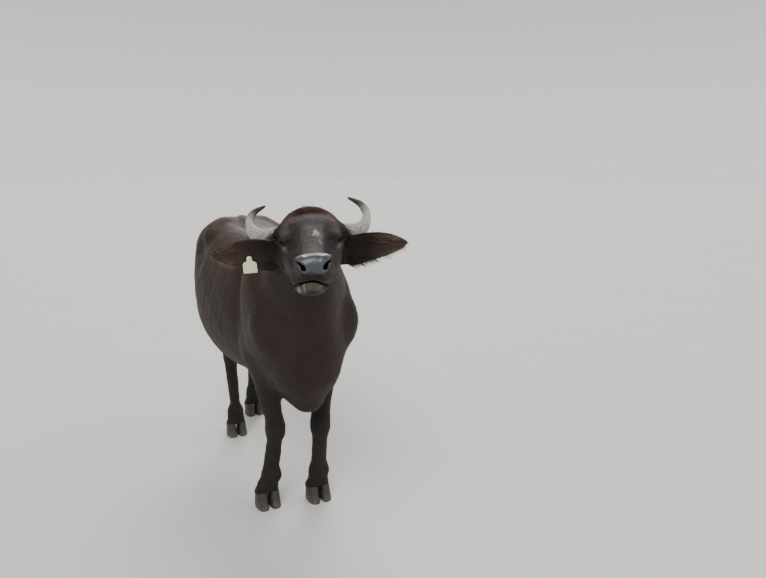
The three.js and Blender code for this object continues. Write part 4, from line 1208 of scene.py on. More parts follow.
class Nodes:
    """Short ways to add and join the nodes of a tree."""

    def __init__(self, tree):
        self.tree = tree

    def add(self, kind, inputs=(), **settings):
        node = self.tree.nodes.new(kind)
        for key, value in settings.items():
            setattr(node, key, value)
        for key, value in dict(inputs).items():
            socket = node.inputs[key]
            if isinstance(value, bpy.types.NodeSocket):
                self.tree.links.new(value, socket)
            else:
                socket.default_value = value
        return node

    def link(self, source, target):
        self.tree.links.new(source, target)

    def place(self, stretch=(1, 1, 1)):
        at = self.add("ShaderNodeTexCoord").outputs["Object"]
        return self.add("ShaderNodeMapping", {"Vector": at, "Scale": stretch}).outputs["Vector"]

    def noise(self, scale, detail=4, stretch=(1, 1, 1), rough=0.55):
        inputs = {"Vector": self.place(stretch), "Scale": scale, "Detail": detail, "Roughness": rough}
        return self.add("ShaderNodeTexNoise", inputs).outputs["Fac"]

    def math(self, operation, *values):
        return self.add("ShaderNodeMath", dict(enumerate(values)), operation=operation).outputs[0]

    def spread(self, value, low, high, to_low=0.0, to_high=1.0):
        inputs = {"Value": value, "From Min": low, "From Max": high, "To Min": to_low, "To Max": to_high}
        return self.add("ShaderNodeMapRange", inputs).outputs["Result"]

    def mixed(self, share, a, b, blend="MIX"):
        node = self.add("ShaderNodeMix", data_type="RGBA", blend_type=blend)
        for index, value in ((0, share), (6, a), (7, b)):
            if isinstance(value, bpy.types.NodeSocket):
                self.link(value, node.inputs[index])
            elif index:
                node.inputs[index].default_value = (*value, 1)
            else:
                node.inputs[index].default_value = value
        return node.outputs[2]

    def bump(self, shader, height, distance, strength=1.0, under=None):
        inputs = {"Height": height, "Distance": distance, "Strength": strength}
        if under:
            inputs["Normal"] = under
        made = self.add("ShaderNodeBump", inputs).outputs["Normal"]
        self.link(made, shader.inputs["Normal"])
        return made

    def named(self, name, output="Fac"):
        return self.add("ShaderNodeAttribute", attribute_name=name).outputs[output]

    def tinted(self, shade):
        """The colour painted on the points, lighter or darker by the shade."""
        tone = self.add("ShaderNodeCombineColor", {0: shade, 1: shade, 2: shade}).outputs[0]
        return self.mixed(1.0, self.named("tint", "Color"), tone, "MULTIPLY")


HAIR_GLOSS = dict(
    Specular_IOR_Level=0.26, Sheen_Weight=0.05, Sheen_Roughness=0.45, Sheen_Tint=(0.62, 0.5, 0.42, 1))


def hide_finish():
    """Skin with short hair as bump over painted colour, and a wet pebbled pad on the muzzle."""
    material, shader = finish("hide", 0.6, **HAIR_GLOSS, Coat_Roughness=0.24)
    nodes = Nodes(material.node_tree)
    bare = nodes.named("bare")
    hair = nodes.noise(900, 3, (1, 0.22, 0.3), 0.7)
    strands = nodes.spread(hair, 0.3, 0.7, 0.78, 1.2)
    patches = nodes.spread(nodes.noise(38, 5), 0.3, 0.7, 0.86, 1.12)
    lighter = nodes.math("ADD", nodes.math("MULTIPLY", bare, 0.35), 1.0)
    shade = nodes.math("MULTIPLY", nodes.math("MULTIPLY", strands, patches), lighter)
    nodes.link(nodes.tinted(shade), shader.inputs["Base Color"])
    wet = nodes.spread(nodes.noise(120, 3), 0.35, 0.65, 0.2, 0.4)
    dry = nodes.spread(hair, 0.2, 0.8, 0.55, 0.74)
    rough = nodes.add("ShaderNodeMix", {0: bare, 2: dry, 3: wet}).outputs[0]
    nodes.link(rough, shader.inputs["Roughness"])
    nodes.link(nodes.math("MULTIPLY", bare, 0.7), shader.inputs["Coat Weight"])
    cells = nodes.add("ShaderNodeTexVoronoi", {"Vector": nodes.place(), "Scale": 380}, feature="SMOOTH_F1")
    pebbles = nodes.math("MULTIPLY", nodes.spread(cells.outputs["Distance"], 0.55, 0.1), bare)
    first = nodes.bump(shader, pebbles, 0.0009, 0.6)
    furry = nodes.math("MULTIPLY", hair, nodes.math("SUBTRACT", 1.0, bare))
    second = nodes.bump(shader, furry, 0.0016, 0.8, first)
    uneven = nodes.math("MULTIPLY", nodes.noise(160, 4), nodes.spread(bare, 0, 1, 1.0, 0.35))
    nodes.bump(shader, uneven, 0.0012, 0.5, second)
    return material


def coat_finish():
    """Hair of the tufts: the skin's colour where each is rooted, varied from tuft to tuft."""
    material, shader = finish("coat", 0.5, **HAIR_GLOSS)
    nodes = Nodes(material.node_tree)
    strands = nodes.noise(1500, 2, (1, 0.3, 0.4), 0.6)
    each = nodes.spread(nodes.named("shade"), 0, 1, 0.8, 1.3)
    shade = nodes.math("MULTIPLY", each, nodes.spread(strands, 0.3, 0.7, 0.85, 1.15))
    nodes.link(nodes.tinted(shade), shader.inputs["Base Color"])
    nodes.bump(shader, strands, 0.0004, 0.5)
    return material


def horn_finish():
    """Pale grey horn, streaked along its length, dark olive toward the tip, with painted shade in the grooves
    of its rings near the base.
    """
    material, shader = finish("horn", 0.42, Coat_Weight=0.08, Coat_Roughness=0.35)
    nodes = Nodes(material.node_tree)
    along = nodes.named("along")
    turn = nodes.named("turn")
    streak_at = nodes.add("ShaderNodeCombineXYZ", {0: turn, 1: nodes.math("MULTIPLY", along, 2.5)}).outputs[0]
    streaks = {"Vector": streak_at, "Scale": 7.0, "Detail": 5.0}
    streak = nodes.add("ShaderNodeTexNoise", streaks).outputs["Fac"]
    mottle = nodes.noise(60, 4)
    pale = nodes.mixed(nodes.spread(streak, 0.38, 0.66), paint("b9b7ae"), paint("8b877c"))
    pale = nodes.mixed(nodes.spread(mottle, 0.45, 0.75, 0, 0.45), pale, paint("77705f"))
    edge = nodes.math("ADD", along, nodes.math("MULTIPLY", nodes.math("SUBTRACT", streak, 0.5), 0.22))
    dark = nodes.mixed(nodes.spread(edge, 0.66, 0.86), pale, paint("35352a"))
    dark = nodes.mixed(nodes.spread(edge, 0.8, 0.98), dark, paint("161713"))
    swayed = nodes.math("ADD", along, nodes.math("MULTIPLY", mottle, 0.05))
    rings = nodes.math("SINE", nodes.math("MULTIPLY", swayed, 230.0))
    based = nodes.spread(along, 0.62, 0.2)
    # Painted shade: the grooves between the rings are darkened toward grey-brown, more so toward the base.
    ring_groove_shade = nodes.math("MULTIPLY", nodes.spread(rings, 0.2, -0.9), nodes.math("MULTIPLY", based, 0.25))
    nodes.link(nodes.mixed(ring_groove_shade, dark, paint("544c3e")), shader.inputs["Base Color"])
    nodes.link(nodes.spread(mottle, 0.3, 0.7, 0.34, 0.56), shader.inputs["Roughness"])
    first = nodes.bump(shader, nodes.math("MULTIPLY", rings, based), 0.0006)
    nodes.bump(shader, streak, 0.0008, 0.6, first)
    return material


def hoof_finish():
    """Near-black horn of the hooves with fine upright lines, level rings and pale dust low down."""
    material, shader = finish("hoof", 0.5)
    nodes = Nodes(material.node_tree)
    lines = nodes.noise(420, 3, (1, 1, 0.06))
    rings = nodes.noise(110, 3, (0.1, 0.1, 1))
    base = nodes.mixed(nodes.spread(lines, 0.35, 0.65), paint("1f1c1a"), paint("3b3530"))
    high = nodes.add("ShaderNodeSeparateXYZ", {0: nodes.place()}).outputs["Z"]
    dust = nodes.math("MULTIPLY", nodes.spread(high, 0.045, 0.0), nodes.spread(nodes.noise(70, 4), 0.35, 0.7))
    dusty = nodes.mixed(nodes.math("MULTIPLY", dust, 0.55), base, paint("7a6c5a"))
    nodes.link(dusty, shader.inputs["Base Color"])
    nodes.link(nodes.spread(lines, 0.3, 0.7, 0.4, 0.66), shader.inputs["Roughness"])
    first = nodes.bump(shader, lines, 0.0006)
    nodes.bump(shader, rings, 0.0014, 0.7, first)
    return material


def eye_finish():
    """A wet eye: the painted iris with fine dark flecks."""
    material, shader = finish("eye", 0.1, IOR=1.3, Specular_IOR_Level=0.32)
    nodes = Nodes(material.node_tree)
    fleck = nodes.spread(nodes.noise(700, 3), 0.3, 0.7, 0.0, 0.35)
    nodes.link(nodes.mixed(fleck, nodes.named("tint", "Color"), (0, 0, 0)), shader.inputs["Base Color"])
    return material


def tag_finish():
    """Soft pale plastic, a little soiled, with fine scratches."""
    material, shader = finish("tag", 0.42, Subsurface_Weight=0.08, Subsurface_Scale=0.004)
    nodes = Nodes(material.node_tree)
    soil = nodes.noise(45, 5)
    scratch = nodes.noise(500, 2, (1, 1, 0.08))
    clean = nodes.mixed(nodes.spread(scratch, 0.6, 0.75, 0, 0.25), paint("e3dfba"), paint("bdb78d"))
    soiled = nodes.mixed(nodes.spread(soil, 0.52, 0.78, 0, 0.5), clean, paint("8f8665"))
    nodes.link(soiled, shader.inputs["Base Color"])
    nodes.link(nodes.spread(soil, 0.3, 0.7, 0.34, 0.6), shader.inputs["Roughness"])
    nodes.bump(shader, scratch, 0.0002, 0.6)
    return material


HIDE, FUR, HORN = hide_finish(), coat_finish(), horn_finish()
HOOF, EYE, TAG_SKIN = hoof_finish(), eye_finish(), tag_finish()


def add_values(mesh, name, values, kind="FLOAT"):
    """Stores a value, or a colour, for every point of a mesh."""
    layer = mesh.attributes.new(name, kind, "POINT")
    if kind == "FLOAT_COLOR":
        values = np.column_stack([values, np.ones(len(values))])
        layer.data.foreach_set("color", values.astype("f").ravel())
    elif kind == "FLOAT_VECTOR":
        layer.data.foreach_set("vector", values.astype("f").ravel())
    else:
        layer.data.foreach_set("value", np.asarray(values, "f").ravel())


def stand_for(obj, slot, *nodes):
    """The piece belongs to the one still body and stands for CAD nodes; slot is not used."""
    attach(obj, BODY)
    if nodes:
        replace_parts(obj, *nodes)
    return obj


# The skin
skin_points, skin_faces = make_skin()
skin = new_object("skin", skin_points, skin_faces, HIDE)
stand_for(skin, "hide", "torso", "neck", "head", *STANCE, "ear_left", "ear_right", "tail")
skin_normals = normals_of(skin_points, skin_faces)
skin_tint = skin_colour(skin_points, skin_normals)
add_values(skin.data, "tint", skin_tint, "FLOAT_COLOR")
add_values(skin.data, "bare", bare_share(skin_points))


def unwrapped(obj):
    """Unfolds the skin, so that each tuft knows its root's place on it."""
    obj.data.uv_layers.new(name="unwrap")
    bpy.context.view_layer.objects.active = obj
    obj.select_set(True)
    bpy.ops.object.mode_set(mode="EDIT")
    bpy.ops.mesh.select_all(action="SELECT")
    bpy.ops.uv.smart_project(angle_limit=math.radians(66), island_margin=0.001)
    bpy.ops.object.mode_set(mode="OBJECT")
    obj.select_set(False)


unwrapped(skin)
PATCH = 0.003


def tuft(name, points, faces, owns, smooth=False):
    """A tuft's mesh; owns are the places of its points on a patch of the unfolding."""
    mesh = bpy.data.meshes.new(name)
    mesh.from_pydata(points, [], faces)
    if smooth:
        mesh.shade_smooth()
    else:
        mesh.shade_flat()
    add_values(mesh, "own", np.array(owns), "FLOAT_VECTOR")
    return linked(name, mesh)


def flat_tuft(name, wide, rise):
    """A short tuft, 1 long: four faces along Z, its root edge sunk and a low ridge toward X."""
    crest = wide * 0.17
    points = [(-crest, -wide / 2, 0), (-crest, wide / 2, 0), (crest, 0, 0.34), (rise, 0, 1)]
    owns = [(0, 0, 0), (1, 0, 0), (0.5, 0.34, 0), (0.5, 1, 0)]
    return tuft(name, points, [(0, 1, 2), (1, 3, 2), (0, 2, 3), (0, 3, 1)], owns)


def long_tuft(name, wide, thick, rise, rings):
    """A long tuft, 1 long: a flat tapered blade along Z that rises toward X and turns its tip back."""
    points, owns = [], []
    for t in [*rings, 1.0]:
        full = (0.6 + 1.1 * t - 1.7 * t * t) if t < 1 else 0
        lift = rise * (1.9 * t - 0.9 * t * t) - (0.06 if t <= rings[0] else 0)
        corners = [(-1, 0), (1, 0), (0, 1)] if t < 1 else [(0, 0)]
        points += [(lift + thick * full * out, wide / 2 * full * aside, t) for aside, out in corners]
        owns += [(0.5 + aside / 2, t, 0) for aside, out in corners]
    return tuft(name, points, strand_faces(len(rings) + 1), owns, smooth=True)


def strand_faces(rings):
    """Faces of a closed three-sided strand whose last ring is a point."""
    faces = [(2, 1, 0)]
    for r in range(rings - 2):
        for i in range(3):
            j = (i + 1) % 3
            faces += [(3 * r + i, 3 * r + j, 3 * r + 3 + j), (3 * r + i, 3 * r + 3 + j, 3 * r + 3 + i)]
    last = 3 * (rings - 2)
    return faces + [(last + i, last + (i + 1) % 3, last + 3) for i in range(3)]


TUFT_VARIES = (0.7, 1.25)


def coat_tree():
    """Roots tufts on the skin by its cover, turns each along its lie and sizes it by its long."""
    tree = bpy.data.node_groups.new("coat", "GeometryNodeTree")
    sockets = [("Skin", "Geometry"), ("Tuft", "Object"), ("Finish", "Material"), ("Seed", "Int"),
               ("Tufts in a square metre", "Float"), ("Length", "Float"), ("Ruffle", "Float")]
    for name, kind in sockets:
        tree.interface.new_socket(name, in_out="INPUT", socket_type=f"NodeSocket{kind}")
    tree.interface.new_socket("Coat", in_out="OUTPUT", socket_type="NodeSocketGeometry")
    nodes = Nodes(tree)
    given = nodes.add("NodeGroupInput").outputs

    def named(name, kind="FLOAT"):
        node = nodes.add("GeometryNodeInputNamedAttribute", {"Name": name}, data_type=kind)
        return node.outputs["Attribute"]

    def vector(operation, first, other, socket=1):
        return nodes.add("ShaderNodeVectorMath", {0: first, socket: other}, operation=operation).outputs[0]

    def drawn(low, high):
        inputs = {2: low, 3: high, "Seed": given["Seed"]}
        return nodes.add("FunctionNodeRandomValue", inputs, data_type="FLOAT").outputs[1]

    def stored(geometry, name, value, kind, domain):
        inputs = {"Geometry": geometry, "Name": name, "Value": value}
        return nodes.add("GeometryNodeStoreNamedAttribute", inputs, data_type=kind, domain=domain).outputs[0]

    density = nodes.math("MULTIPLY", named("cover"), given["Tufts in a square metre"])
    sown = {"Mesh": given["Skin"], "Density": density, "Seed": given["Seed"]}
    roots = nodes.add("GeometryNodeDistributePointsOnFaces", sown, distribute_method="RANDOM").outputs
    anyway = nodes.add("FunctionNodeRandomValue", {0: (-1, -1, -1), 1: (1, 1, 1), "Seed": given["Seed"]},
                       data_type="FLOAT_VECTOR").outputs[0]
    way = vector("ADD", named("lie", "FLOAT_VECTOR"), vector("SCALE", anyway, given["Ruffle"], "Scale"))
    turn = nodes.add("FunctionNodeAxesToRotation", {0: way, 1: roots["Normal"]},
                     primary_axis="Z", secondary_axis="X").outputs[0]
    size = nodes.math("MULTIPLY", nodes.math("MULTIPLY", named("long"), given["Length"]), drawn(*TUFT_VARIES))
    shape = nodes.add("GeometryNodeObjectInfo", {"Object": given["Tuft"]}).outputs["Geometry"]
    planted = {"Points": roots["Points"], "Instance": shape, "Rotation": turn, "Scale": size}
    tufts = nodes.add("GeometryNodeInstanceOnPoints", planted).outputs[0]
    shaded = stored(tufts, "shade", drawn(0.0, 1.0), "FLOAT", "INSTANCE")
    real = nodes.add("GeometryNodeRealizeInstances", {0: shaded}).outputs[0]
    corner = vector("MULTIPLY", named("own", "FLOAT_VECTOR"), (PATCH, PATCH, 0))
    patch = vector("ADD", named("unwrap", "FLOAT_VECTOR"), corner)
    mapped = stored(real, "OFBake", patch, "FLOAT2", "CORNER")
    done = nodes.add("GeometryNodeSetMaterial", {"Geometry": mapped, "Material": given["Finish"]})
    nodes.link(done.outputs[0], nodes.add("NodeGroupOutput").inputs["Coat"])
    return tree


COAT_TREE = coat_tree()
KEPT_VALUES = {"tint", "shade", "OFBake", "position", "sharp_face", "material_index"}


def coat_piece(name, shape, cover, long, ruffle, seed, lie, densest=DENSEST, tint=None):
    """A coat over part of the skin, by values of the skin's points.

    Cover says how dense it is from 0 to 1, long how many millimetres long and lie which way it points."""
    bed = linked(name + "_bed", skin.data.copy())
    if tint is not None:
        bed.data.attributes.remove(bed.data.attributes["tint"])
        add_values(bed.data, "tint", tint, "FLOAT_COLOR")
    add_values(bed.data, "cover", cover)
    add_values(bed.data, "long", long / 1000)
    add_values(bed.data, "lie", lie, "FLOAT_VECTOR")
    grown = bed.modifiers.new("coat", "NODES")
    grown.node_group = COAT_TREE
    values = {"Tuft": shape, "Finish": FUR, "Tufts in a square metre": densest * 1000, "Length": 1.0,
              "Ruffle": ruffle, "Seed": seed}
    for item in COAT_TREE.interface.items_tree:
        if item.in_out == "INPUT" and item.name in values:
            grown[item.identifier] = values[item.name]
    mesh = bpy.data.meshes.new_from_object(evaluated(bed))
    mesh.name = name
    layers = [layer.name for layer in mesh.attributes if not layer.name.startswith(".")]
    for layer in layers:
        if layer not in KEPT_VALUES:
            mesh.attributes.remove(mesh.attributes[layer])
    obj = linked(name, mesh)
    bpy.data.objects.remove(bed)
    return stand_for(obj, "hide")


# Where the coat is cut into pieces, and how far the head's pieces reach
LOW_COAT_Z, FORE_COAT_Y, BACK_COAT_Y, BETWEEN_LEGS_Y = 640, 210, 760, 500
HEAD_COAT_BACK, HEAD_COAT_OVAL = 128, 1.05
SHORT_TUFT, SLEEK_TUFT = dict(wide=0.2, rise=0.1), dict(wide=0.14, rise=0.09)
LOCK = dict(wide=0.045, thick=0.015, rise=0.14, rings=[0.0, 0.3, 0.65])
COAT_RUFFLE = 0.14


def coat_regions(p, h, ear):
    """For each piece of the short coat, the tuft it has and where it lies."""
    head = (h[:, 1] < HEAD_COAT_BACK) & (from_oval(h, *HAIR_OVAL) < HEAD_COAT_OVAL) & ~ear
    low = (p[:, 2] < LOW_COAT_Z) & (p[:, 1] < TAIL_FROM_Y)
    back = (p[:, 1] > BACK_COAT_Y) & ~low & ~head & ~ear
    fore = (p[:, 1] < FORE_COAT_Y) & ~low & ~head & ~ear
    rest = ~(ear | head | low | back | fore)
    left = p[:, 0] > 0
    return dict(
        coat_face_left=("short", head & (h[:, 0] > 0)),
        coat_face_right=("short", head & (h[:, 0] <= 0)),
        coat_ears=("short", ear),
        coat_neck_left=("sleek", fore & left),
        coat_neck_right=("sleek", fore & ~left),
        coat_barrel_left=("sleek", rest & left),
        coat_barrel_right=("sleek", rest & ~left),
        coat_quarter_left=("sleek", back & left),
        coat_quarter_right=("sleek", back & ~left),
        coat_forelegs=("short", low & (p[:, 1] < BETWEEN_LEGS_Y)),
        coat_hindlegs=("short", low & (p[:, 1] >= BETWEEN_LEGS_Y)),
    ), head


def grow_crown(lock, p, h, head):
    """Longer hair on the crown, combed forward."""
    forward = np.tile(np.array([0, -1.0, 0]) @ HEAD_TURNED.T, (len(p), 1))
    forward = along_surface(forward + 0.3 * drift(p, 60, (51, 52, 53)), skin_normals)
    poll = spot(folded(h), (0, 100, 92), (84, 52, 60)) * head
    long = 38 * np.clip(poll * 1.2, 0.4, 1)
    coat_piece("poll_tuft", lock, (poll > 0.25) * poll, long, 0.24, 21, forward, 110)


def grow_ear_hair(lock, h, ear):
    """A fringe along the ears' edges, and hair inside them that lies across the cup, clear of the tag."""
    aside = folded(h)
    facing = skin_normals @ HEAD_TURNED
    outward = unit(EAR_TIP - EAR_ROOT)
    mirrored = np.concatenate([np.sign(h[:, :1]), np.ones((len(h), 2))], 1)
    past_tag = h[:, 0] < TAG["x"] - 46
    low_edge = ear & (facing[:, 2] < -0.35) & (past_tag | (h[:, 0] > 0))
    top_edge = ear & (facing[:, 2] > 0.6)
    low_way, top_way = (((outward * share + [0, 0, up]) * mirrored) @ HEAD_TURNED.T
                        for share, up in ((0.8, -0.65), (0.95, 0.2)))
    way = np.where(low_edge[:, None], low_way, top_way)
    long = np.where(low_edge, 30 - 10 * smoothstep(aside[:, 0], 250, 370), 13)
    paler = 0.75 * smoothstep(aside[:, 0], 190, 330)[:, None] * (COLOURS["fringe"] - skin_tint)
    paler = skin_tint + paler
    coat_piece("ear_fringe", lock, (low_edge | top_edge) * 1.0, long, 0.2, 22, way, 110, paler)

    inside = ear & (facing[:, 1] < -0.2) & (aside[:, 0] < 335) & (past_tag | (h[:, 0] > TAG["x"] + 68))
    v = (h[:, 2] + 68) / 50
    across = np.stack([0 * v, -0.3 + 0 * v, -0.5 * np.clip(v, -1, 1)], 1)
    way = ((outward[None] + across) * mirrored) @ HEAD_TURNED.T
    cover = inside * smoothstep(np.abs(v), 0.2, 0.75)
    long = 24 + 14 * smoothstep(aside[:, 0], 320, 150)
    coat_piece("ear_hair", lock, cover, long, 0.16, 23, way, 42, paler)


def grow_coat():
    """The coat over the whole skin, then the longer hair of the crown and the ears."""
    p = skin_points
    h = to_head(p)
    ear = on_ear(h)
    lie = coat_lie(p, skin_normals)
    long = hair_length(p, h)
    cover = tuft_density(long) * (hair_share(p) * (1 - in_openings(h)))
    tufts = dict(short=flat_tuft("short_tuft", **SHORT_TUFT), sleek=flat_tuft("sleek_tuft", **SLEEK_TUFT))
    regions, head = coat_regions(p, h, ear)
    for seed, (name, (kind, where)) in enumerate(regions.items(), 1):
        coat_piece(name, tufts[kind], where * cover, long, COAT_RUFFLE, seed, lie)
    lock = long_tuft("lock", **LOCK)
    grow_crown(lock, p, h, head)
    grow_ear_hair(lock, h, ear)
    for shape in (*tufts.values(), lock):
        bpy.data.objects.remove(shape)


grow_coat()


# Horns: flattened and ridged at the root, they sweep out and back and curl in to a blunt tip
HORN_KEYS = [(84, 108, 6), (130, 128, -2), (176, 148, -8), (214, 180, 2), (232, 218, 32), (216, 254, 64),
             (166, 284, 86)]
HORN_SIZE = dict(root=35, tip=4, taper=2.1, flat=0.68, squarer=0.92, blunt_from=0.975, blunt=0.0245)
HORN_RIDGES = dict(count=22, high=1.0, broad=0.6, to=0.6, full=0.3)
HORN_WIDE_WAY = [0, 0.25, 1]
HORN_RISE = {"left": 16, "right": 0}


def horn_curve(side):
    """The horn's middle line, which ends a little higher on the left."""
    rise, last = HORN_RISE[side], len(HORN_KEYS) - 1
    keys = []
    for k, (x, y, z) in enumerate(HORN_KEYS):
        keys.append((x - 0.4 * rise * (k / last) ** 2, y, z + rise * (k / last) ** 2))
    return smooth_curve(keys)


def horn(side, steps=180, sides=40):
    """A horn's points and faces, and for each point how far along and how far round it lies."""
    curve = horn_curve(side)
    turn = np.linspace(0, 2 * np.pi, sides, endpoint=False)
    c, s = np.cos(turn), np.sin(turn)
    sway = np.random.default_rng(61).uniform(0.6, 1.3, HORN_RIDGES["count"])
    square = HORN_SIZE["squarer"]
    rings, along = [], []
    for k in range(steps + 1):
        t = k / steps * 0.997
        full = HORN_SIZE["root"] + (HORN_SIZE["tip"] - HORN_SIZE["root"]) * t ** HORN_SIZE["taper"]
        which, saw = divmod(t * HORN_RIDGES["count"], 1)
        fade = smoothstep(t, HORN_RIDGES["to"], HORN_RIDGES["full"]) * sway[int(which)]
        ridge = HORN_RIDGES["high"] * (math.sin(math.pi * saw) ** HORN_RIDGES["broad"] - 0.6) * fade
        ahead = unit(curve(min(t + 2e-3, 1)) - curve(max(t - 2e-3, 0)))
        across = unit(np.array(HORN_WIDE_WAY) - np.dot(HORN_WIDE_WAY, ahead) * ahead)
        up = np.cross(ahead, across)
        keel = 1 - 0.05 * (1 - t) * np.cos(3 * turn + 0.6)
        wide = (full + ridge) * np.sign(c) * np.abs(c) ** square * keel
        thin = (full * HORN_SIZE["flat"] + ridge) * np.sign(s) * np.abs(s) ** square * keel
        past = max(t - HORN_SIZE["blunt_from"], 0) / HORN_SIZE["blunt"]
        end = math.sqrt(max(1 - past, 0))
        rings.append(curve(t) + end * (wide[:, None] * across + thin[:, None] * up))
        along.append(np.full(sides, t))
    points, faces = ring_mesh(rings)
    along = np.append(np.concatenate(along), [0, 1])
    return points, faces, along, np.append(np.tile(turn, steps + 1), [0, 0])


for side in ("left", "right"):
    points, faces, along, turn = horn(side)
    made = new_object(f"{side}_horn", *placed((points, faces), side), HORN)
    add_values(made.data, "along", along)
    add_values(made.data, "turn", np.sin(turn) * 1.5)
    stand_for(made, "horn", f"horn_{side}")


# Eyes: dark brown, with a low wide pupil and a darker rim
IRIS = dict(radius=13.5, pupil_wide=7.5, pupil_high=3.6, bulge=0.5, rays=31)
WHITE, RIM, BROWN = paint("5d4636"), paint("140c08"), paint("3a2114")


def eyeball():
    """An eye's points and faces, and the colour of each point."""
    points, faces = sphere([0, 0, 0], 1, 96, 64)
    ahead = points @ EYE_WAY
    u, v = points @ EYE_SIDE * EYE_RADIUS, points @ EYE_UP * EYE_RADIUS
    r = np.hypot(u, v)
    front = ahead > 0
    grown = EYE_RADIUS + IRIS["bulge"] * front * smoothstep(r, IRIS["radius"], 4)
    colour = np.tile(WHITE, (len(points), 1))
    rim = front * smoothstep(r, IRIS["radius"] + 3, IRIS["radius"])
    colour += rim[:, None] * (RIM - colour)
    iris = front * smoothstep(r, IRIS["radius"], IRIS["radius"] - 3)
    rays = 0.5 + 0.5 * np.sin(IRIS["rays"] * np.arctan2(v, u))
    colour += iris[:, None] * (BROWN + 0.012 * rays[:, None] - colour)
    pupil = front * smoothstep(np.hypot(u / IRIS["pupil_wide"], v / IRIS["pupil_high"]), 1.08, 0.92)
    colour += pupil[:, None] * (0.002 - colour)
    return points * grown[:, None] + EYE_AT, faces, colour


for side in ("left", "right"):
    points, faces, colour = eyeball()
    made = new_object(f"{side}_eye", *placed((points, faces), side), EYE)
    add_values(made.data, "tint", colour, "FLOAT_COLOR")
    stand_for(made, "eye", f"eye_{side}")


# Hooves: two claws with rounded edges, and two dewclaws behind. A claw's slices are rows of height,
# size and share of the slant of its top
CLAW = dict(long=122, wide=56, apart=3, outer_share=0.62, lean=0.13, toe=0.21)
CLAW_SLICES = [(0, 0.93, 0), (1, 0.965, 0), (3, 0.99, 0), (6, 1, 0)]
CLAW_SLICES += [(6 + 34 * k / 8, 1 - 0.05 * k / 8, 0) for k in range(1, 9)]
CLAW_SLICES += [(40 + (HOOF_TOP["z"] - 40) * k / 8, 0.95 - 0.05 * k / 8, k / 8) for k in range(1, 9)]
DEWCLAW_KEYS = ((18, 28, 134), (24, 52, 124), (27, 64, 102))


def claw(x, y, out):
    """A claw of the foot at x and y, on the side that out says: 1 or -1."""
    turn = np.linspace(0, 2 * np.pi, 56, endpoint=False)
    c, s = np.cos(turn), np.sin(turn)
    share = np.where(c > 0, CLAW["outer_share"], 1 - CLAW["outer_share"])
    blunt = np.sign(c) * np.abs(c) ** 0.7
    rings = []
    for z, size, fall in CLAW_SLICES:
        ring = size * (1 + 0.006 * math.sin(z * 0.9 + x))
        dy = -s * CLAW["long"] / 2 * ring + z * (CLAW["lean"] + s * CLAW["toe"])
        dx = CLAW["apart"] + CLAW["wide"] * (1 - CLAW["outer_share"] + blunt * share * ring)
        down = fall * math.tan(math.radians(HOOF_TOP["lean"])) * (dy - HOOF_TOP["behind"])
        rings.append(np.stack([x + out * dx, y + dy, z - down], 1))
    return ring_mesh(rings)


def dewclaw(x, y, out):
    keys = [(x + out * dx, y + dy, z) for dx, dy, z in DEWCLAW_KEYS]

    def size_at(t):
        blunt = math.sqrt(max(1 - max(t - 0.8, 0) / 0.22, 0.05))
        return (17 - 9 * t) * blunt, (15 - 8 * t) * blunt, np.array([1.0, 0, 0])
    return bar(smooth_curve(keys), 20, 20, size_at)


for name, stance in STANCE.items():
    y = stance["toe"] + TOE_TO_AXIS
    fetlock = (stance["foot"] + stance["joint"]) / 2 if name.startswith("fore") else stance["foot"]
    for which, out in (("outer", stance["side"]), ("inner", -stance["side"])):
        made = new_object(f"hoof_{name}_{which}", *claw(stance["side"] * stance["foot"], y, out), HOOF)
        stand_for(made, "hoof", f"claw_{name}_{which}")
        made = new_object(f"spur_{name}_{which}", *dewclaw(stance["side"] * fetlock, y, out), HOOF)
        stand_for(made, "hoof", f"dewclaw_{name}_{which}")


# The ear tag's plates have round-topped necks, and its stud goes through the ear
TAG_CORNER = 4
TAG_EDGE = dict(width=0.0006, segments=3, angle=50)
STUD = dict(cap=8, deep=3, edge=0.6)


def round_points(radius, turns):
    return [(radius * math.cos(a), radius * math.sin(a)) for a in turns]


def tag_outline():
    """The plate's edge, up its right side and down its left, and the edge of its hole."""
    w, n, shoulder, corner = TAG["wide"] / 2, TAG["neck"], TAG["shoulder"], TAG_CORNER
    low, quarter = -TAG["high"] + corner, np.linspace(0, np.pi / 2, 7)
    right = [(w - corner + corner * math.sin(a), low - corner * math.cos(a)) for a in quarter]
    for t in np.linspace(0, 1, 12):
        a, b = (1 - t) ** 2, 2 * t * (1 - t)
        right.append(((a + b) * w + t * t * n, -a * shoulder - b * (shoulder - 10) - t * t * n))
    right += round_points(n, np.linspace(0, np.pi / 2, 10))
    left = [(-x, z) for x, z in right[-2::-1]]
    return right + left, round_points(TAG["hole"], np.linspace(0, 2 * np.pi, 24, endpoint=False))


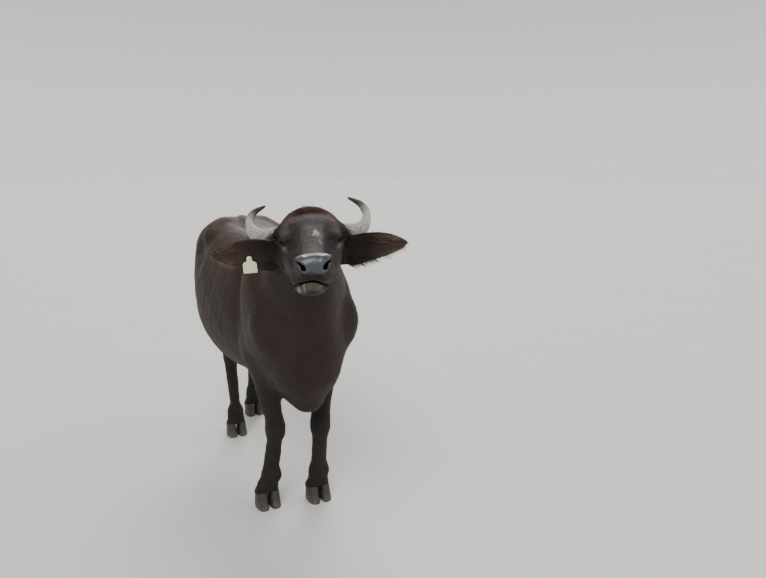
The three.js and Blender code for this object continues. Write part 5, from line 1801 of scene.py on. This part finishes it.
def tag_plate(name, y):
    """A plate with its back at y, its edges rounded."""
    bm = bmesh.new()
    for loop in tag_outline():
        corners = [bm.verts.new((x, 0, z)) for x, z in loop]
        for a, b in zip(corners, corners[1:] + corners[:1]):
            bm.edges.new((a, b))
    bmesh.ops.triangle_fill(bm, use_beauty=True, edges=bm.edges)
    bmesh.ops.dissolve_limit(bm, angle_limit=0.01, verts=bm.verts, edges=bm.edges)
    grown = bmesh.ops.extrude_face_region(bm, geom=bm.faces[:])
    front = [v for v in grown["geom"] if isinstance(v, bmesh.types.BMVert)]
    bmesh.ops.translate(bm, vec=(0, -TAG["thick"], 0), verts=front)
    bmesh.ops.recalc_face_normals(bm, faces=bm.faces)
    for v in bm.verts:
        v.co = Vector(to_world(from_head(np.array(v.co) + (TAG["x"], y, TAG["z"]))))
    mesh = bpy.data.meshes.new(name)
    bm.to_mesh(mesh)
    bm.free()
    mesh.materials.append(TAG_SKIN)
    obj = linked(name, mesh)
    edge = obj.modifiers.new("edge", "BEVEL")
    edge.width, edge.segments = TAG_EDGE["width"], TAG_EDGE["segments"]
    edge.limit_method, edge.angle_limit = "ANGLE", math.radians(TAG_EDGE["angle"])
    done = bpy.data.meshes.new_from_object(evaluated(obj))
    obj.modifiers.clear()
    obj.data = done
    done.shade_smooth()
    return obj


def tag_stud():
    """A shaft through the ear and both plates, with a domed cap at each end."""
    shaft, cap, inner = TAG["hole"] - GAP, STUD["cap"], STUD["cap"] - STUD["edge"]
    near, far = TAG["front"] - TAG["thick"] - GAP, TAG["back"] + TAG["thick"] + GAP
    dome = [(cap * math.sin(a), near - STUD["deep"] * math.cos(a)) for a in np.linspace(0.12, np.pi / 2, 9)]
    profile = dome + [(cap, near), (inner, near), (shaft, near), (shaft, far), (inner, far), (cap, far)]
    profile += [(r, far + (near - y)) for r, y in dome[::-1]]
    turn = np.linspace(0, 2 * np.pi, 36, endpoint=False)
    rings = []
    for r, y in profile:
        rings.append(np.stack([r * np.cos(turn) + TAG["x"], 0 * turn + y, r * np.sin(turn) + TAG["z"]], 1))
    return new_object("tag_button", *placed(ring_mesh(rings)), TAG_SKIN)


stand_for(tag_plate("tag_front", TAG["front"]), "tag", "tag_plate_front")
stand_for(tag_plate("tag_back", TAG["back"] + TAG["thick"]), "tag", "tag_plate_back")
stand_for(tag_stud(), "tag", "tag_stud")


# Long hairs: each a thin three-sided strand along a path
def strand_mesh(name, paths, radii, tints):
    """Strands along paths (n, k, 3) with radii (n, k), one colour each."""
    n, k = paths.shape[:2]
    ahead = np.gradient(paths, axis=1)
    ahead /= np.linalg.norm(ahead, axis=2, keepdims=True)
    across = np.cross(ahead, [0.31, 0.52, 0.79])
    across /= np.linalg.norm(across, axis=2, keepdims=True)
    up = np.cross(ahead, across)
    corners = []
    for a in (0, 2 * np.pi / 3, 4 * np.pi / 3):
        corners.append(paths + radii[..., None] * (math.cos(a) * across + math.sin(a) * up))
    rings = np.stack(corners, 2)[:, :-1]
    points = np.concatenate([rings.reshape(n, -1, 3), paths[:, -1:]], 1)
    each = points.shape[1]
    faces = (np.array(strand_faces(k))[None] + each * np.arange(n)[:, None, None]).reshape(-1, 3)
    obj = new_object(name, points.reshape(-1, 3), faces, FUR)
    add_values(obj.data, "tint", np.repeat(tints, each, axis=0), "FLOAT_COLOR")
    draw = np.random.default_rng(71)
    add_values(obj.data, "shade", np.repeat(draw.uniform(0, 1, n), each))
    map_roots(obj, paths[:, 0], each)
    return stand_for(obj, "hide")


skin_tree = BVHTree.FromPolygons([Vector(v) for v in skin_points], skin_faces.tolist())
unwrap = np.empty(len(skin.data.loops) * 2, "f")
skin.data.uv_layers["unwrap"].data.foreach_get("uv", unwrap)
unwrap = unwrap.reshape(-1, 3, 2)


def map_roots(obj, roots, each):
    """Gives each strand its patch on the skin's unfolding, at the place of its root."""
    at = np.array([unwrap[skin_tree.find_nearest(Vector(root))[2]].mean(0) for root in roots])
    corners = np.empty(len(obj.data.loops), "i")
    obj.data.loops.foreach_get("vertex_index", corners)
    step = np.stack([(corners % each) % 3 / 2, (corners % each) / each], 1) * PATCH
    layer = obj.data.uv_layers.new(name="OFBake")
    layer.data.foreach_set("uv", (at[corners // each] + step).astype("f").ravel())


SWITCH = dict(strands=420, points=9, core=80, out=8, long=196, lowest=262, spread=0.21, radius=1.5)


def tail_switch():
    """Long hairs that spring from all round the end of the tail and hang to a ragged point."""
    draw = np.random.default_rng(23)
    n, k = SWITCH["strands"], SWITCH["points"]
    top = tail_curve(1)
    down = draw.uniform(-14, SWITCH["core"], n)
    turn = draw.uniform(0, 2 * np.pi, n)
    out = np.stack([np.cos(turn), np.sin(turn), 0 * turn], 1)
    root = top + out * SWITCH["out"] + np.stack([0 * down, 3 * down / SWITCH["core"], -down], 1)
    long = np.minimum(SWITCH["long"] * draw.uniform(0.62, 1.08, n), SWITCH["lowest"] - down)
    t = np.linspace(0, 1, k)[None, :, None]
    spread = SWITCH["spread"] * draw.uniform(0.5, 1.1, n)[:, None, None]
    swing = draw.normal(0, 0.035, (n, 1, 3)) * t * t
    wave = 0.012 * np.sin(6 * t + draw.uniform(0, 6, (n, 1, 1))) * draw.normal(0, 1, (n, 1, 3))
    way = np.array([0, 0, -1.0]) * t + out[:, None] * spread * (t - 0.95 * t * t) + swing + wave * t
    paths = root[:, None] + long[:, None, None] * way
    full = 0.55 + 0.9 * t[..., 0] - 1.25 * t[..., 0] ** 2
    radii = SWITCH["radius"] * full * draw.uniform(0.7, 1.2, (n, 1))
    tint = COLOURS["legs"] * draw.uniform(0.7, 1.25, (n, 1))
    return strand_mesh("switch", paths, radii, tint)


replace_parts(tail_switch(), "tail_switch")

# Lashes in rows of up or down, how many and how long; whiskers in rows of middle, spread and how many
LASH_ROWS = ((1, 30, 15), (-1, 14, 8))
LASH_RADIUS, WHISKER_RADIUS = 0.22, 0.28
WHISKER_ROWS = (
    ((40, -262, -50), (22, 14, 10), 22),
    ((62, -262, -10), (8, 12, 14), 10),
    ((26, -250, -104), (24, 20, 8), 22),
)
WHISKER_WAY = np.array([0.2, -0.3, -0.5])
along_hair = np.linspace(0, 1, 6)[:, None]


def dark_hairs(name, paths, radius):
    """Fine dark hairs that end in a point."""
    paths = np.array(paths)
    radii = radius * (1 - 0.8 * along_hair.T) * np.ones((len(paths), 1))
    return strand_mesh(name, paths, radii, np.tile(COLOURS["lip"], (len(paths), 1)))


def lashes():
    """Lashes on both lids, the upper ones longer."""
    draw = np.random.default_rng(81)
    t = along_hair
    paths = []
    for side in ("left", "right"):
        for way, count, long in LASH_ROWS:
            for i in range(count):
                turn = way * (0.16 + 0.68 * (i + draw.uniform(0, 0.6)) / count) * np.pi
                root = almond(turn, 1.04, EYE_RADIUS + 2.2)
                out = unit(EYE_WAY + 0.5 * way * EYE_UP + 0.35 * math.cos(turn) * EYE_SIDE)
                bend = (-0.5 if way > 0 else 0.2) * EYE_UP * t * (1 - 0.4 * t)
                length = long * draw.uniform(0.75, 1.1)
                path = root + length * (out * t + bend) + draw.normal(0, 0.4, 3) * t
                paths.append(from_head(path * MIRROR[side]))
    return dark_hairs("lashes", paths, LASH_RADIUS)


def whiskers():
    """Sparse stiff hairs on the chin, the lips and beside the nostrils."""
    draw = np.random.default_rng(91)
    fall = np.array([0, 0, -0.35]) * along_hair * along_hair
    paths = []
    for side in ("left", "right"):
        for centre, spread, count in WHISKER_ROWS:
            for _ in range(count):
                h = np.array(centre) + draw.normal(0, 0.6, 3) * spread
                root = from_head(h * MIRROR[side])
                hit, normal, _, _ = skin_tree.find_nearest(Vector(root))
                out = unit(np.array(normal) + HEAD_TURNED @ (WHISKER_WAY * MIRROR[side]))
                paths.append(np.array(hit) - out + draw.uniform(14, 30) * (out * along_hair + fall))
    return dark_hairs("whiskers", paths, WHISKER_RADIUS)


lashes()
whiskers()


# Camera, floor and light. The camera stands 1.6 m high and looks down a little, as the photograph's does
CAMERA_AT = (-893.7, -2580.7, 1600.0)
CAMERA_WAY = (0.4557, 0.8899)
CAMERA_DROP = 11.3
SENSOR = 36
FOCAL_PIXELS, IMAGE_WIDE = 620, 766


def aim(obj, way):
    obj.rotation_euler = Vector(way).to_track_quat("-Z", "Y").to_euler()


def add_camera():
    data = bpy.data.cameras.new("photo_view")
    data.lens = FOCAL_PIXELS / IMAGE_WIDE * SENSOR
    camera = linked("photo_view", data)
    drop = math.radians(CAMERA_DROP)
    camera.location = to_world(CAMERA_AT)
    aim(camera, (*unit(CAMERA_WAY) * math.cos(drop), -math.sin(drop)))
    bpy.context.scene.camera = camera


FLOOR_REACH, FLOOR_SIDES = 60, 96


def add_floor():
    """A wide plain floor, very slightly uneven in its pale grey."""
    material, shader = finish("floor", 0.85)
    nodes = Nodes(material.node_tree)
    grey = nodes.mixed(nodes.noise(1.3, 3), paint("d2d1ce"), paint("d5d4d1"))
    nodes.link(grey, shader.inputs["Base Color"])
    turn = np.linspace(0, 2 * np.pi, FLOOR_SIDES, endpoint=False)
    mesh = bpy.data.meshes.new("floor")
    mesh.from_pydata([(x, y, 0) for x, y in round_points(FLOOR_REACH, turn)], [], [range(FLOOR_SIDES)])
    mesh.materials.append(material)
    floor = linked("floor", mesh)


# Wide soft lights from far away, so that the floor is lit alike out to where it meets the sky
LIGHTS = [
    dict(way=(-0.42, -0.62, 0.9), strength=2.0, spread=36),
    dict(way=(0.75, -0.25, 0.55), strength=0.7, spread=50),
    dict(way=(0.35, 0.8, 0.75), strength=2.0, spread=32),
]
# The sky's brightness at the horizon and above the height where it stops falling
SKY = dict(low=1.01, high=0.42, falls_to=0.55, colour=(0.985, 0.985, 0.98, 1))


def add_light():
    for light in LIGHTS:
        data = bpy.data.lights.new("soft_light", "SUN")
        data.energy, data.angle = light["strength"], math.radians(light["spread"])
        aim(linked("soft_light", data), -Vector(light["way"]))
    world = bpy.data.worlds.new("studio")
    world.use_nodes = True
    nodes = Nodes(world.node_tree)
    way = nodes.add("ShaderNodeTexCoord").outputs["Generated"]
    high = nodes.add("ShaderNodeSeparateXYZ", {0: way}).outputs["Z"]
    fall = {"Value": high, "From Min": 0.0, "From Max": SKY["falls_to"]}
    fall.update({"To Min": SKY["low"], "To Max": SKY["high"]})
    strength = nodes.add("ShaderNodeMapRange", fall, interpolation_type="SMOOTHSTEP").outputs[0]
    background = world.node_tree.nodes["Background"].inputs
    nodes.link(strength, background["Strength"])
    background["Color"].default_value = SKY["colour"]
    bpy.context.scene.world = world


add_camera()
add_floor()
add_light()
